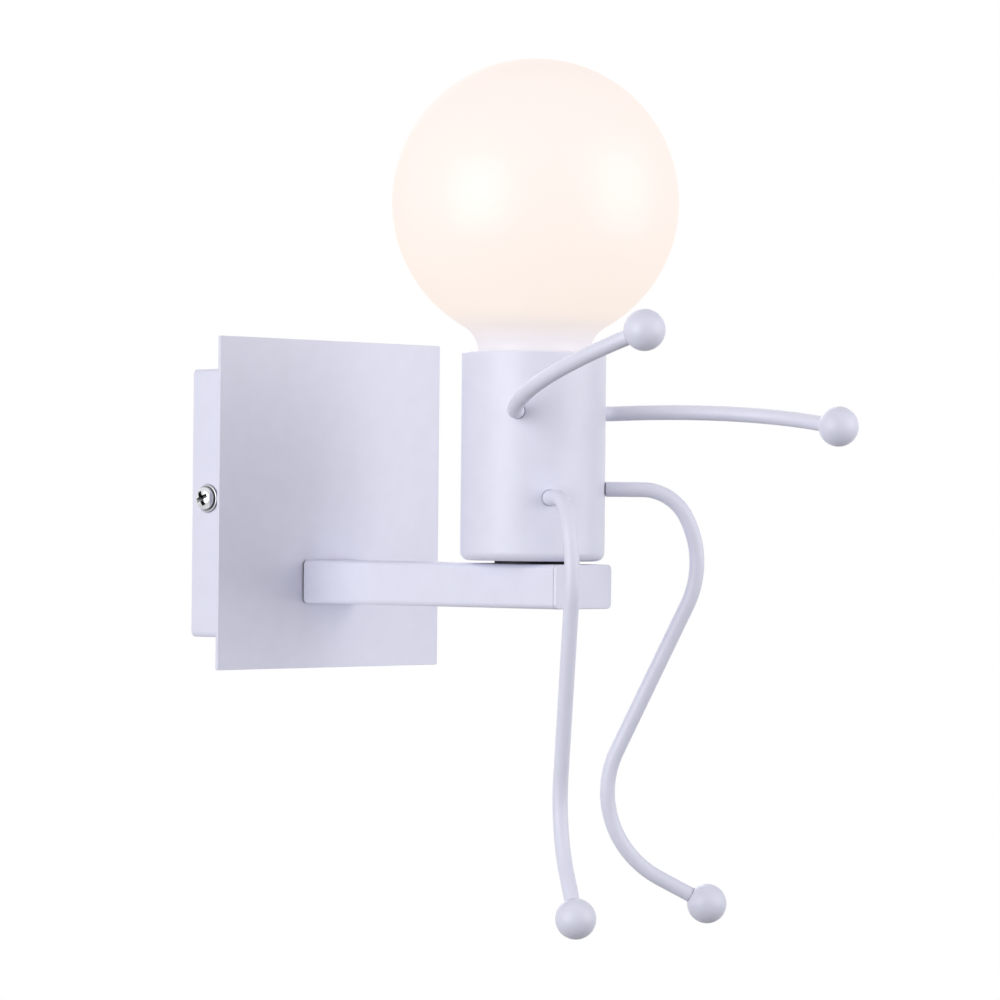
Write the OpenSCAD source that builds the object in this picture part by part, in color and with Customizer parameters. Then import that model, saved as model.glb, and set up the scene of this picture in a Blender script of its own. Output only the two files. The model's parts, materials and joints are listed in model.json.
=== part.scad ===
// Wall sconce in the form of a small stick figure. A square canopy hangs on a wall bracket and
// carries a tube arm. A lamp cup stands on the arm as the body, a globe bulb is the head, and four
// bent rods with ball ends are the arms and legs, each free to turn in its hole in the cup.
// Millimetres. The wall is the plane y = 0, the sconce stands out towards -y, +z is up, and the
// origin lies on the wall, midway between the bracket's two slots.

/* [Canopy] */
// Side of the square face plate
plate_side = 112; // [104:1:140]
// Thickness of the face plate
plate_t = 1.2; // [0.8:0.1:2]
// Side of the square canopy box behind the face plate
box_side = 90.8; // [86:0.2:100]
// Depth of the canopy box, from the wall to the back of the face plate
box_depth = 21.4; // [19:0.2:30]
// Sheet thickness of the canopy box
box_t = 1; // [0.8:0.1:1.4]
// Corner radius of the canopy box
box_corner_r = 2; // [1.6:0.1:5]
// Distance of the canopy's middle below the wall bracket's centre line
canopy_drop = 1.5; // [-2:0.5:4]

/* [Wall bracket] */
// Sheet thickness of the wall bracket
bracket_t = 1.5; // [1:0.1:2]
// Width of the strap across the wall
strap_w = 22; // [20:1:28]
// Depth of the ears that hold the side screws
ear_depth = 12; // [10.5:0.5:16]
// Width of each ear
ear_w = 14; // [10:1:18]
// Outside bend radius between strap and ear
ear_bend_r = 2.5; // [2.2:0.1:4]
// Distance between the two wall slots
slot_pitch = 60; // [56:1:64]
// Width of a wall slot
slot_w = 4.5; // [3.5:0.1:5]
// Straight length of a wall slot, between the centres of its round ends
slot_run = 6; // [3:0.5:8]
// Hole for the supply cable
cable_hole_d = 12; // [8:0.5:12]
// Width of the tab that carries the terminal block
tab_w = 24; // [22:1:30]
// Height of the tab above the strap's centre line
tab_h = 33; // [31:0.5:38]

/* [Terminal block] */
// Width of the terminal block
block_w = 20; // [19:0.5:22]
// Height of the terminal block
block_h = 18; // [16:0.5:20]
// Depth of the terminal block, off the bracket
block_d = 11; // [9:0.5:13]
// Distance between the two poles
pole_pitch = 12; // [11:0.5:13]
// Outer diameter of the brass tube in each pole
pole_tube_d = 5; // [4.4:0.1:5.4]
// Bore of the brass tube
pole_bore_d = 3.2; // [2.8:0.1:3.4]

/* [Screws] */
// Thread diameter of the side, arm and earth screws and of the limb roots
thread_d = 4; // [3.5:0.1:4.4]
// Diameter of a pan head
head_d = 7.6; // [6.8:0.1:8]
// Height of a pan head
head_h = 2.6; // [2:0.1:3]
// Length of a screw under its head
screw_len = 11; // [9:0.5:14]
// Diameter of a plain washer
washer_d = 9.2; // [8.4:0.1:9.6]
// Thickness of a plain washer
washer_t = 0.8; // [0.5:0.1:1]
// Thread diameter of the clamp screws
clamp_d = 3; // [2.5:0.1:3.2]
// Distance of the side screws from the wall
side_screw_out = 7.3; // [5.5:0.1:8]
// Distance of each arm screw from the arm's centre line
arm_screw_x = 9.5; // [9.2:0.1:10]

/* [Arm] */
// Width of the arm's tube
arm_w = 29; // [28:0.5:34]
// Height of the arm's tube
arm_h = 14.6; // [14:0.2:18]
// Wall of the arm's tube
arm_t = 1.2; // [0.8:0.1:1.4]
// Outside corner radius of the arm's tube
arm_corner_r = 1.8; // [1.5:0.1:3]
// Reach of the arm in front of the face plate
arm_reach = 112; // [100:1:150]
// Distance of the arm's centre line below the canopy's middle
arm_drop = 26.5; // [24:0.5:28]
// Thickness of the plate that closes the arm
end_cap_t = 1.2; // [0.8:0.1:2]
// Length of the threaded block inside the arm's root
root_len = 12; // [10:0.5:16]
// Hole through the canopy for the wires
wire_hole_d = 8; // [7.6:0.1:8.4]

/* [Lamp cup] */
// Outside diameter of the cup
cup_d = 47.8; // [47:0.2:54]
// Height of the cup
cup_h = 68.8; // [66:0.2:80]
// Wall of the cup
cup_t = 1; // [0.8:0.1:1.2]
// Outside radius of the cup's bottom edge
cup_corner_r = 3; // [2:0.1:5]
// Distance from the arm's end back to the cup's axis
cup_setback = 22.3; // [20:0.1:30]
// Diameter of the rubber washer between arm and cup
spacer_d = 25; // [18:0.5:25]
// Thickness of the rubber washer
spacer_t = 1; // [0.6:0.1:2]

/* [Lamp holder] */
// Thread diameter of the hollow nipple
nipple_d = 10; // [9.6:0.1:10.4]
// Bore of the nipple
nipple_bore_d = 7; // [6.6:0.1:7.4]
// Height of a nipple nut
nipple_nut_h = 3; // [2.5:0.1:3.2]
// Width across the flats of a nipple nut
nipple_nut_af = 14; // [13:0.5:15]
// Diameter of the lamp holder
holder_d = 33; // [32:0.2:33.6]
// Wall of the lamp holder
holder_t = 2.3; // [2:0.1:2.4]
// Height of the holder's base
base_h = 15; // [14:0.5:17]
// Thickness of the base's bottom
base_floor = 4; // [3:0.1:5]
// Height of the holder's body above its base
body_h = 34.7; // [32:0.1:36]
// Thickness of the body's floor, which carries the contacts
body_floor = 5; // [4:0.1:6]
// Height of the centre contact's spring
spring_h = 4; // [3.5:0.1:4.5]
// Sheet thickness of the contacts
contact_t = 0.4; // [0.3:0.05:0.5]

/* [Bulb] */
// Diameter of the globe
globe_d = 95; // [80:1:110]
// Length of the bulb, from its tip contact to the top of the globe
bulb_len = 138; // [132:1:150]
// Diameter of the screw cap
cap_d = 26; // [25.6:0.1:26.3]
// Height of the cap and insulator above the tip
cap_h = 27; // [26:0.5:29]
// Widest diameter of the globe's neck
neck_d = 37; // [34:0.5:38]
// Radius of the blend between neck and globe
neck_blend_r = 10; // [8:0.5:11]
// Wall of the glass
glass_t = 1.2; // [0.8:0.1:1.6]
// Length of a filament
filament_len = 38; // [30:1:44]

/* [Limbs] */
// Diameter of the bent rods
rod_d = 5; // [4.6:0.1:5.4]
// Diameter of the ball ends
ball_d = 13.2; // [12:0.2:18]
// Angle of each arm's hole from the front of the cup
arm_hole_az = 63; // [58:0.5:68]
// Height of the arm holes above the cup's bottom
arm_hole_h = 49.1; // [46:0.1:52]
// Straight stub of an arm outside the cup
arm_stub = 2.5; // [2:0.1:8]
// Radius of an arm's first bend
arm_bend_r = 9; // [7:0.5:14]
// Angle of an arm's first bend
arm_bend = 21; // [10:1:40]
// Straight length between an arm's bends
arm_mid = 3.2; // [0.5:0.1:10]
// Radius of an arm's long sweep
arm_sweep_r = 78; // [60:1:120]
// Angle of an arm's long sweep
arm_sweep = 49.5; // [30:0.5:60]
// Twist between the planes of an arm's bends
arm_twist = 18.8; // [0:0.1:30]
// Straight end of an arm, to the centre of its ball
arm_tail = 12.1; // [9:0.1:20]
// How far the left arm is raised from hanging
left_arm_raise = 125.5; // [95:0.5:150]
// How far the right arm is raised from hanging
right_arm_raise = 97.5; // [90:0.5:150]
// Angle of each leg's hole from the front of the cup
leg_hole_az = 37; // [30:0.5:42]
// Height of the left leg's hole above the cup's bottom
left_leg_hole_h = 20.8; // [17:0.1:26]
// Height of the right leg's hole above the cup's bottom
right_leg_hole_h = 23.9; // [17:0.1:26]
// Straight stub of a leg outside the cup
leg_stub = 12.1; // [6:0.1:16]
// Radius of a leg's hip bend
hip_r = 16.3; // [12:0.1:22]
// Angle of a leg's hip bend
hip = 62; // [50:1:75]
// Radius of a leg's thigh, which bends on from the hip
thigh_r = 33.5; // [25:0.5:45]
// Angle of the left thigh's bend
left_thigh = 44; // [35:0.5:60]
// Angle of the right thigh's bend
right_thigh = 53; // [35:0.5:60]
// Straight length of the left leg between thigh and ankle
left_shin = 59; // [48:0.5:70]
// Straight length of the right leg between thigh and ankle
right_shin = 54.5; // [48:0.5:70]
// Radius of a leg's ankle bend
ankle_r = 33; // [25:0.5:40]
// Angle of the left ankle's bend
left_ankle = 57.5; // [45:0.5:90]
// Angle of the right ankle's bend
right_ankle = 87; // [45:0.5:95]
// Straight end of a leg, to the centre of its ball
leg_tail = 18; // [9:0.5:26]
// How far the left leg is spread outwards
left_leg_spread = -1; // [-6:0.5:20]
// How far the right leg is spread outwards
right_leg_spread = 8; // [-6:0.5:20]
// Width across the flats of a limb's nut
limb_nut_af = 7; // [6.6:0.1:7.4]
// Height of a limb's nut
limb_nut_h = 3; // [2.2:0.1:3.2]
// Length of thread that stands out of a limb's nut
limb_thread_out = 0.6; // [0.2:0.1:0.8]

/* [Wires] */
// Diameter of the insulated wires
wire_d = 2.2; // [1.8:0.1:2.3]
// Inside the arm, distance of each wire from the centre line
wire_x = 1.35; // [1.3:0.05:1.5]
// Bend radius of the wires
wire_bend_r = 4; // [3:0.1:4.5]
// Thickness of the earth wire's lugs
lug_t = 0.8; // [0.6:0.1:1]

/* [Hidden] */
$fn = 64;

// Clearances
// Radial gap of a pin in its bore
fit_gap = 0.05;
// Gap between seated faces that turn on each other, and round pieces set in a pocket
seat_gap = 0.15;
// Radial gap of a screw in a plain hole
hole_gap = 0.25;
// Length by which a cutting tool passes a face
cut = 1;
// Bending draws a rod or wire this much thinner, and its straights lap over each bend
bend_thinning = 0.04;
bend_lap = 0.3;
// The blend of the bulb's neck laps over its globe by this angle, a step under its surface
blend_lap = 3.5;
blend_step = 0.06;

// Canopy and bracket
plate_front = -box_depth - plate_t;
box_front_in = -box_depth + box_t;
ear_x = box_side / 2 - box_t - seat_gap;
block_z = tab_h - block_h;
block_mid_z = block_z + block_h / 2;
block_front = -bracket_t - block_d;
block_base_d = 4;
pole_y = -bracket_t - block_d / 2;
pole_wall = 1.3;
pole_recess = 1.5;
clamp_rise = block_h / 4;
clamp_recess = 0.6;
small_head_d = 1.6 * clamp_d;
small_head_h = 0.6 * clamp_d;
earth_x = cable_hole_d / 2 + washer_d / 2 + seat_gap;

// Arm
arm_z = -canopy_drop - arm_drop;
arm_end = plate_front - arm_reach;
arm_top = arm_z + arm_h / 2;
root_w = arm_w - 2 * arm_t - 2 * seat_gap;
root_h = arm_h - 2 * arm_t - 2 * seat_gap;
root_corner_r = 0.5;
bush_flange_t = 1.2;
bush_lip = 1.1;
bush_wall = 1.2;
bush_flange_d = wire_hole_d + 2 * bush_lip;
bush_bore_d = wire_hole_d - 2 * bush_wall;
root_bore_d = wire_hole_d - 1.6;
arm_washer_d = washer_d - 1.2;
lug_r = arm_washer_d / 2;
lug_tongue = 2;

// Cup and holder, stacked upwards from the arm
cup_y = arm_end + cup_setback;
cup_r = cup_d / 2;
cup_z = arm_top + spacer_t;
cup_in_r = cup_r - cup_t;
nipple_end = 0.6;
nipple_low = arm_top - arm_t - nipple_nut_h - nipple_end;
base_z = cup_z + cup_t + nipple_nut_h;
base_top = base_z + base_h;
nipple_top = base_z + base_floor;
body_in_z = base_top + body_floor;
shell_gap = 0.3;
shell_in_r = cap_d / 2 + shell_gap;
shell_below_rim = 2.5;
shell_h = body_h - body_floor - shell_below_rim;
terminal_x = 5;
terminal_depth = 2;
holder_screw_x = 10;
holder_screw_len = 3.5;
contact_w = 6;
contact_reach = 7;

// Bulb, standing on the spring of the centre contact
tip_z = body_in_z + spring_h + seat_gap;
globe_z = tip_z + bulb_len - globe_d / 2;
cap_t = 0.4;
cap_lip = 0.4;
cap_lip_h = 1.2;
tip_t = 0.8;
tip_r = 4.6;
insulator_h = 3.6;
insulator_step = 2;
insulator_top_r = cap_d / 2 - insulator_step;
neck_low_z = tip_z + cap_h;
neck_low_r = cap_d / 2 + cap_lip;
neck_r = neck_d / 2;
blend_x = neck_r + neck_blend_r;
blend_z = -sqrt(pow(globe_d / 2 + neck_blend_r, 2) - pow(blend_x, 2));
stem_flare_h = 14;
stem_tube_r = 4;
stem_r = 1.6;
filament_r = 0.9;
filament_ring_r = 9;
filament_count = 4;
filament_low_z = globe_z - filament_len / 2;
filament_top_z = globe_z + filament_len / 2;
support_d = 0.8;
support_inset = 1;

// Limbs
arm_hole_z = cup_z + arm_hole_h;
left_leg_hole_z = cup_z + left_leg_hole_h;
right_leg_hole_z = cup_z + right_leg_hole_h;
limb_washer_d = washer_d - 0.4;
washer_face = sqrt(pow(cup_in_r, 2) - pow(limb_washer_d / 2, 2)) - fit_gap;
nut_face = washer_face - washer_t - fit_gap;
thread_end = nut_face - limb_nut_h - limb_thread_out;
shoulder_r = cup_r + seat_gap;
rod_short_of_ball = 1;
// Sides of the figure, seen from the front
LEFT = -1;
RIGHT = 1;

// Colours
paint = [0.90, 0.90, 0.94];
chrome = [0.78, 0.79, 0.80];
zinc = [0.66, 0.67, 0.69];
brass = [0.80, 0.66, 0.36];
nylon = [0.92, 0.91, 0.86];
phenolic = [0.16, 0.15, 0.15];
rubber = [0.12, 0.12, 0.12];
opal = [1.00, 0.95, 0.88];

// Bend tables: one row per bend, with the straight length before it, its radius, its angle and
// the twist of its plane about the rod
function arm_path(side) = [
  [arm_stub, arm_bend_r, arm_bend, 0],
  [arm_mid, arm_sweep_r, arm_sweep, side * arm_twist]];
function leg_path(thigh, shin, ankle) = [
  [leg_stub, hip_r, hip, 0],
  [0, thigh_r, thigh, 0],
  [shin, ankle_r, ankle, 180]];
left_arm_path = arm_path(LEFT);
right_arm_path = arm_path(RIGHT);
left_leg_path = leg_path(left_thigh, left_shin, left_ankle);
right_leg_path = leg_path(right_thigh, right_shin, right_ankle);

// Shared shapes

// Rectangle with round corners, centred
module round_rect(w, h, r) {
  square([w - 2 * r, h], center = true);
  square([w, h - 2 * r], center = true);
  for (sx = [-1, 1], sy = [-1, 1])
    translate([sx * (w / 2 - r), sy * (h / 2 - r)]) circle(r);
}

// Draws a flat outline forward from the plane y, with its own x and y as x and z
module forward(y, depth) {
  translate([0, y, 0]) rotate([90, 0, 0]) linear_extrude(depth) children();
}

// Ring or tube standing on z = 0
module ring(outer_r, inner_r, h) {
  difference() {
    cylinder(r = outer_r, h = h);
    translate([0, 0, -cut]) cylinder(r = inner_r, h = h + 2 * cut);
  }
}

// Hexagon nut standing on z = 0
module hex_nut(af, bore_r, h) {
  difference() {
    cylinder(d = af / cos(30), h = h, $fn = 6);
    translate([0, 0, -cut]) cylinder(r = bore_r, h = h + 2 * cut);
  }
}

// Pan-head screw: the head stands on z = 0 and the thread runs down from it
module pan_screw(d, head, head_height, len) {
  crown_h = head_height / 2;
  crown_r = (pow(head / 2, 2) + pow(crown_h, 2)) / (2 * crown_h);
  translate([0, 0, -len]) cylinder(d = d, h = len);
  intersection() {
    cylinder(d = head, h = head_height);
    translate([0, 0, head_height - crown_r]) sphere(crown_r);
  }
}

// Straight of a rod or wire along +z, with its laps over the bends before and after it
module straight(d, run, before, after) {
  translate([0, 0, -before]) cylinder(d = d, h = before + run + after);
}

// Bend from the origin and +z towards +x
module bend(d, r, angle) {
  translate([r, 0, 0]) mirror([1, 0, 0]) rotate([90, 0, 0]) rotate_extrude(angle = angle)
    translate([r, 0]) circle(d = d - bend_thinning);
}

// Bent rod along +z, each bend turning towards +x
module bent_rod(d, path, tail, i = 0) {
  before = i == 0 ? 0 : bend_lap;
  if (i == len(path)) {
    straight(d, tail, before, 0);
  } else {
    run = path[i][0];
    r = path[i][1];
    angle = path[i][2];
    straight(d, run, before, bend_lap);
    translate([0, 0, run]) rotate([0, 0, path[i][3]]) {
      bend(d, r, angle);
      translate([r * (1 - cos(angle)), 0, r * sin(angle)]) rotate([0, angle, 0])
        bent_rod(d, path, tail, i + 1);
    }
  }
}

// Puts its children at the end of a bent rod's path
module at_path_end(path, tail, i = 0) {
  if (i == len(path)) {
    translate([0, 0, tail]) children();
  } else {
    r = path[i][1];
    angle = path[i][2];
    translate([0, 0, path[i][0]]) rotate([0, 0, path[i][3]])
      translate([r * (1 - cos(angle)), 0, r * sin(angle)]) rotate([0, angle, 0])
        at_path_end(path, tail, i + 1) children();
  }
}

// Wire through a list of points, with a bend of one radius at each inner point
function unit(v) = v / norm(v);
function turn(p, i) = acos(max(-1, min(1, unit(p[i] - p[i - 1]) * unit(p[i + 1] - p[i]))));
function set_back(p, i, r) = (i == 0 || i == len(p) - 1) ? 0 : r * tan(turn(p, i) / 2);
function axes(x, y, z, o) = [
  [x[0], y[0], z[0], o[0]],
  [x[1], y[1], z[1], o[1]],
  [x[2], y[2], z[2], o[2]],
  [0, 0, 0, 1]];
function square_to(v) = unit(cross(v, abs(v[0]) > abs(v[1]) ? [0, 1, 0] : [1, 0, 0]));
module wire(points, d, r) {
  last = len(points) - 1;
  for (i = [0:last - 1]) {
    along = unit(points[i + 1] - points[i]);
    across = square_to(along);
    start = points[i] + set_back(points, i, r) * along;
    run = norm(points[i + 1] - points[i]) - set_back(points, i, r) - set_back(points, i + 1, r);
    multmatrix(axes(across, cross(along, across), along, start))
      straight(d, run, i == 0 ? 0 : bend_lap, i == last - 1 ? 0 : bend_lap);
  }
  for (i = [1:last - 1]) {
    before = unit(points[i] - points[i - 1]);
    after = unit(points[i + 1] - points[i]);
    inward = unit(after - (after * before) * before);
    start = points[i] - set_back(points, i, r) * before;
    multmatrix(axes(inward, cross(before, inward), before, start)) bend(d, r, turn(points, i));
  }
}

// Frame of a limb: +z runs out along the hole's axis, from the cup's own axis, and +x hangs down,
// turned about the hole's axis by the limb's swing
module limb_frame(az, z, swing) {
  translate([0, cup_y, z]) rotate([0, 0, az]) rotate([90, 0, 0]) rotate([0, 0, swing - 90])
    children();
}
module arm_frame(side, raise) {
  limb_frame(side * arm_hole_az, arm_hole_z, -side * raise) children();
}
module leg_frame(side, spread) {
  hole_z = side == LEFT ? left_leg_hole_z : right_leg_hole_z;
  limb_frame(side * leg_hole_az, hole_z, side * spread) children();
}
module each_limb_hole() {
  for (side = [LEFT, RIGHT]) {
    arm_frame(side, 0) children();
    leg_frame(side, 0) children();
  }
}

// Rod of a limb, with its threaded root through the cup's wall
module limb_rod(path, tail) {
  color(paint) {
    translate([0, 0, thread_end]) straight(thread_d, shoulder_r - thread_end, 0, bend_lap);
    translate([0, 0, shoulder_r]) bent_rod(rod_d, path, tail - rod_short_of_ball);
  }
}

// Ball end of a limb, with a blind hole for the rod
module limb_ball(path, tail) {
  color(paint) translate([0, 0, shoulder_r]) at_path_end(path, tail) difference() {
    sphere(d = ball_d);
    translate([0, 0, -ball_d])
      cylinder(d = rod_d + 2 * fit_gap, h = ball_d - rod_short_of_ball + fit_gap);
  }
}

// Nut that holds a limb's root inside the cup
module limb_nut() {
  color(zinc) translate([0, 0, nut_face - limb_nut_h])
    hex_nut(limb_nut_af, thread_d / 2 + fit_gap, limb_nut_h);
}

// Outline of the holes that the arm needs in the canopy box and in the face plate
module arm_holes() {
  for (s = [-1, 1])
    translate([s * arm_screw_x, arm_z]) circle(d = thread_d + 2 * hole_gap);
  translate([0, arm_z]) circle(d = wire_hole_d);
}

// Puts its children on each side screw's axis, +z pointing out of the canopy box's side face
module each_side_screw() {
  for (s = [-1, 1])
    translate([s * box_side / 2, -side_screw_out, 0]) rotate([0, s * 90, 0]) children();
}

// Wall bracket and canopy

// Strap with two bent ears, folded from one strip, and a tab for the terminal block
module wall_bracket() {
  color(zinc) difference() {
    union() {
      translate([0, 0, -ear_w / 2]) linear_extrude(ear_w) intersection() {
        translate([0, -ear_depth]) difference() {
          round_rect(2 * ear_x, 2 * ear_depth, ear_bend_r);
          round_rect(2 * (ear_x - bracket_t), 2 * (ear_depth - bracket_t), ear_bend_r - bracket_t);
        }
        translate([-ear_x, -ear_depth]) square([2 * ear_x, ear_depth]);
      }
      forward(0, bracket_t) {
        square([2 * (ear_x - ear_bend_r), strap_w], center = true);
        translate([-tab_w / 2, 0]) square([tab_w, tab_h]);
      }
    }
    forward(cut, bracket_t + 2 * cut) {
      for (s = [-1, 1]) translate([s * slot_pitch / 2, 0]) {
        square([slot_run, slot_w], center = true);
        for (e = [-1, 1]) translate([e * slot_run / 2, 0]) circle(d = slot_w);
      }
      circle(d = cable_hole_d);
      translate([earth_x, 0]) circle(r = thread_d / 2 + fit_gap);
      translate([0, block_mid_z]) circle(r = clamp_d / 2 + fit_gap);
    }
    each_side_screw() translate([0, 0, -screw_len])
      cylinder(r = thread_d / 2 + fit_gap, h = screw_len);
  }
}

// Tray that is open to the wall
module canopy_box() {
  in_side = box_side - 2 * box_t;
  color(paint) difference() {
    forward(0, box_depth) translate([0, -canopy_drop])
      round_rect(box_side, box_side, box_corner_r);
    forward(cut, box_depth - box_t + cut) translate([0, -canopy_drop])
      round_rect(in_side, in_side, box_corner_r - box_t);
    forward(0, box_depth + cut) arm_holes();
    each_side_screw() translate([0, 0, -2 * box_t])
      cylinder(d = thread_d + 2 * hole_gap, h = 3 * box_t);
  }
}

module face_plate() {
  color(paint) forward(-box_depth, plate_t) difference() {
    translate([0, -canopy_drop]) square(plate_side, center = true);
    arm_holes();
  }
}

module side_screws() {
  color(chrome) each_side_screw() translate([0, 0, washer_t])
    pan_screw(thread_d, head_d, head_h, screw_len);
}

module side_washers() {
  color(chrome) each_side_screw() ring(washer_d / 2, thread_d / 2 + hole_gap, washer_t);
}

// Terminal block, earth and wires

// Two towers on a base, one for each pole
module terminal_block() {
  color(nylon) difference() {
    translate([0, 0, block_z]) linear_extrude(block_h) {
      translate([-block_w / 2, -bracket_t - block_base_d]) square([block_w, block_base_d]);
      for (s = [-1, 1]) translate([s * pole_pitch / 2, pole_y])
        round_rect(pole_tube_d + 2 * pole_wall, block_d, pole_wall);
    }
    for (s = [-1, 1]) translate([s * pole_pitch / 2, pole_y, 0]) {
      translate([0, 0, block_z - cut]) cylinder(r = pole_tube_d / 2 + fit_gap, h = block_h + 2 * cut);
      each_clamp() cylinder(r = clamp_d / 2 + fit_gap, h = block_d);
    }
    translate([0, 0, block_mid_z]) rotate([90, 0, 0]) {
      cylinder(r = clamp_d / 2 + hole_gap, h = block_d);
      translate([0, 0, bracket_t + block_base_d])
        cylinder(r = small_head_d / 2 + hole_gap, h = block_d);
    }
  }
}

// Puts its children on the axes of a pole's two clamp screws, +z pointing forward from the pole
module each_clamp() {
  for (s = [-1, 1]) translate([0, 0, block_mid_z + s * clamp_rise]) rotate([90, 0, 0]) children();
}

module terminal_tubes() {
  color(brass) for (s = [-1, 1]) translate([s * pole_pitch / 2, pole_y, 0]) difference() {
    translate([0, 0, block_z + pole_recess])
      ring(pole_tube_d / 2, pole_bore_d / 2, block_h - 2 * pole_recess);
    each_clamp() cylinder(r = clamp_d / 2 + fit_gap, h = pole_tube_d);
  }
}

module clamp_screws() {
  tip = wire_d / 2 + fit_gap;
  color(zinc) for (s = [-1, 1]) translate([s * pole_pitch / 2, pole_y, 0]) each_clamp()
    translate([0, 0, tip]) cylinder(d = clamp_d, h = block_d / 2 - clamp_recess - tip);
}

module block_screw() {
  color(zinc) translate([0, -bracket_t - block_base_d, block_mid_z]) rotate([90, 0, 0])
    pan_screw(clamp_d, small_head_d, small_head_h, block_base_d + bracket_t - seat_gap);
}

module earth_screw() {
  color(brass) translate([earth_x, -bracket_t - lug_t, 0]) rotate([90, 0, 0])
    pan_screw(thread_d, head_d, head_h, bracket_t + lug_t - seat_gap);
}

// Lug with its ring round a screw at the origin and its tongue along +y
module lug(tongue_end) {
  difference() {
    union() {
      circle(lug_r);
      translate([-wire_d / 2, 0]) square([wire_d, tongue_end]);
    }
    circle(r = thread_d / 2 + hole_gap);
  }
}

// From the bracket to the right arm screw, with a lug at each end
module earth_wire() {
  low_y = box_front_in + wire_d / 2 + seat_gap;
  high_y = -bracket_t - wire_d / 2 - seat_gap;
  start = lug_r + seat_gap;
  rise = 6;
  color([0.45, 0.62, 0.25]) {
    forward(box_front_in + washer_t + lug_t, lug_t) translate([arm_screw_x, arm_z])
      lug(start + lug_tongue);
    forward(-bracket_t, lug_t) translate([earth_x, 0]) rotate(180) lug(start + lug_tongue);
    wire([
      [arm_screw_x, low_y, arm_z + start],
      [arm_screw_x, low_y, arm_z + start + rise],
      [earth_x, high_y, -start - rise],
      [earth_x, high_y, -start]], wire_d, wire_bend_r);
  }
}

// From one pole of the terminal block down to the arm, through it and up the nipple to the holder,
// with a slanted step at each end
module supply_wire(side) {
  pole_x = side * pole_pitch / 2;
  arm_x = side * wire_x;
  holder_x = side * terminal_x;
  step_down_z = block_z - 2 * wire_d;
  step_up_z = nipple_top + wire_d;
  wire([
    [pole_x, pole_y, block_mid_z],
    [pole_x, pole_y, step_down_z],
    [arm_x, pole_y, step_down_z - pole_pitch / 2 + wire_x],
    [arm_x, pole_y, arm_z],
    [arm_x, cup_y, arm_z],
    [arm_x, cup_y, step_up_z],
    [holder_x, cup_y, step_up_z + terminal_x - wire_x],
    [holder_x, cup_y, base_top + terminal_depth]], wire_d, wire_bend_r);
}

module live_wire() {
  color([0.45, 0.26, 0.16]) supply_wire(RIGHT);
}

module neutral_wire() {
  color([0.24, 0.40, 0.70]) supply_wire(LEFT);
}

// Flanged bush that lines the wire hole through box and plate
module wire_bush() {
  color(rubber) translate([0, 0, arm_z]) difference() {
    union() {
      forward(box_front_in + bush_flange_t, bush_flange_t) circle(d = bush_flange_d);
      forward(box_front_in, box_t + plate_t) circle(r = wire_hole_d / 2 - fit_gap);
    }
    forward(box_front_in + bush_flange_t + cut, box_t + plate_t + bush_flange_t + 2 * cut)
      circle(d = bush_bore_d);
  }
}

// Arm

module arm_tube() {
  color(paint) difference() {
    forward(plate_front, arm_reach - end_cap_t) translate([0, arm_z]) difference() {
      round_rect(arm_w, arm_h, arm_corner_r);
      round_rect(arm_w - 2 * arm_t, arm_h - 2 * arm_t, arm_corner_r - arm_t);
    }
    translate([0, cup_y, arm_z]) cylinder(r = nipple_d / 2 + fit_gap, h = arm_h);
  }
}

module arm_end_cap() {
  color(paint) forward(arm_end + end_cap_t, end_cap_t) translate([0, arm_z])
    round_rect(arm_w, arm_h, arm_corner_r);
}

// Block inside the arm's root, tapped for the two arm screws
module arm_root_block() {
  color(zinc) forward(plate_front, root_len) translate([0, arm_z]) difference() {
    round_rect(root_w, root_h, root_corner_r);
    for (s = [-1, 1]) translate([s * arm_screw_x, 0]) circle(r = thread_d / 2 + fit_gap);
    circle(d = root_bore_d);
  }
}

// The right screw also clamps the earth wire's lug
module arm_screws() {
  color(zinc) for (s = [-1, 1]) {
    head_y = box_front_in + washer_t + (s == RIGHT ? lug_t : 0);
    translate([s * arm_screw_x, head_y, arm_z]) rotate([-90, 0, 0])
      pan_screw(thread_d, head_d, head_h, screw_len);
  }
}

module arm_screw_washers() {
  color(zinc) for (s = [-1, 1]) translate([s * arm_screw_x, box_front_in, arm_z])
    rotate([-90, 0, 0]) ring(arm_washer_d / 2, thread_d / 2 + hole_gap, washer_t);
}

// Cup

module spacer_washer() {
  color(rubber) translate([0, cup_y, arm_top]) ring(spacer_d / 2, nipple_d / 2 + fit_gap, spacer_t);
}

// Half section of a round can with a rounded bottom edge
module can_section(r, h, corner_r) {
  translate([0, corner_r]) square([r, h - corner_r]);
  square([r - corner_r, h]);
  translate([r - corner_r, corner_r]) circle(corner_r);
}

module lamp_cup() {
  color(paint) difference() {
    translate([0, cup_y, cup_z]) rotate_extrude() difference() {
      can_section(cup_r, cup_h, cup_corner_r);
      translate([0, cup_t]) can_section(cup_in_r, cup_h, cup_corner_r - cup_t);
      translate([0, -cut]) square([nipple_d / 2 + fit_gap, cup_t + 2 * cut]);
    }
    each_limb_hole() translate([0, 0, thread_end])
      cylinder(r = thread_d / 2 + fit_gap, h = cup_r + cut - thread_end);
  }
}

module nipple() {
  color(zinc) translate([0, cup_y, nipple_low])
    ring(nipple_d / 2, nipple_bore_d / 2, nipple_top - nipple_low);
}

// One nut inside the arm and one inside the cup
module nipple_nuts() {
  color(zinc) for (z = [arm_top - arm_t - nipple_nut_h, cup_z + cup_t])
    translate([0, cup_y, z]) hex_nut(nipple_nut_af, nipple_d / 2 + fit_gap, nipple_nut_h);
}

// Lamp holder

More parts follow.
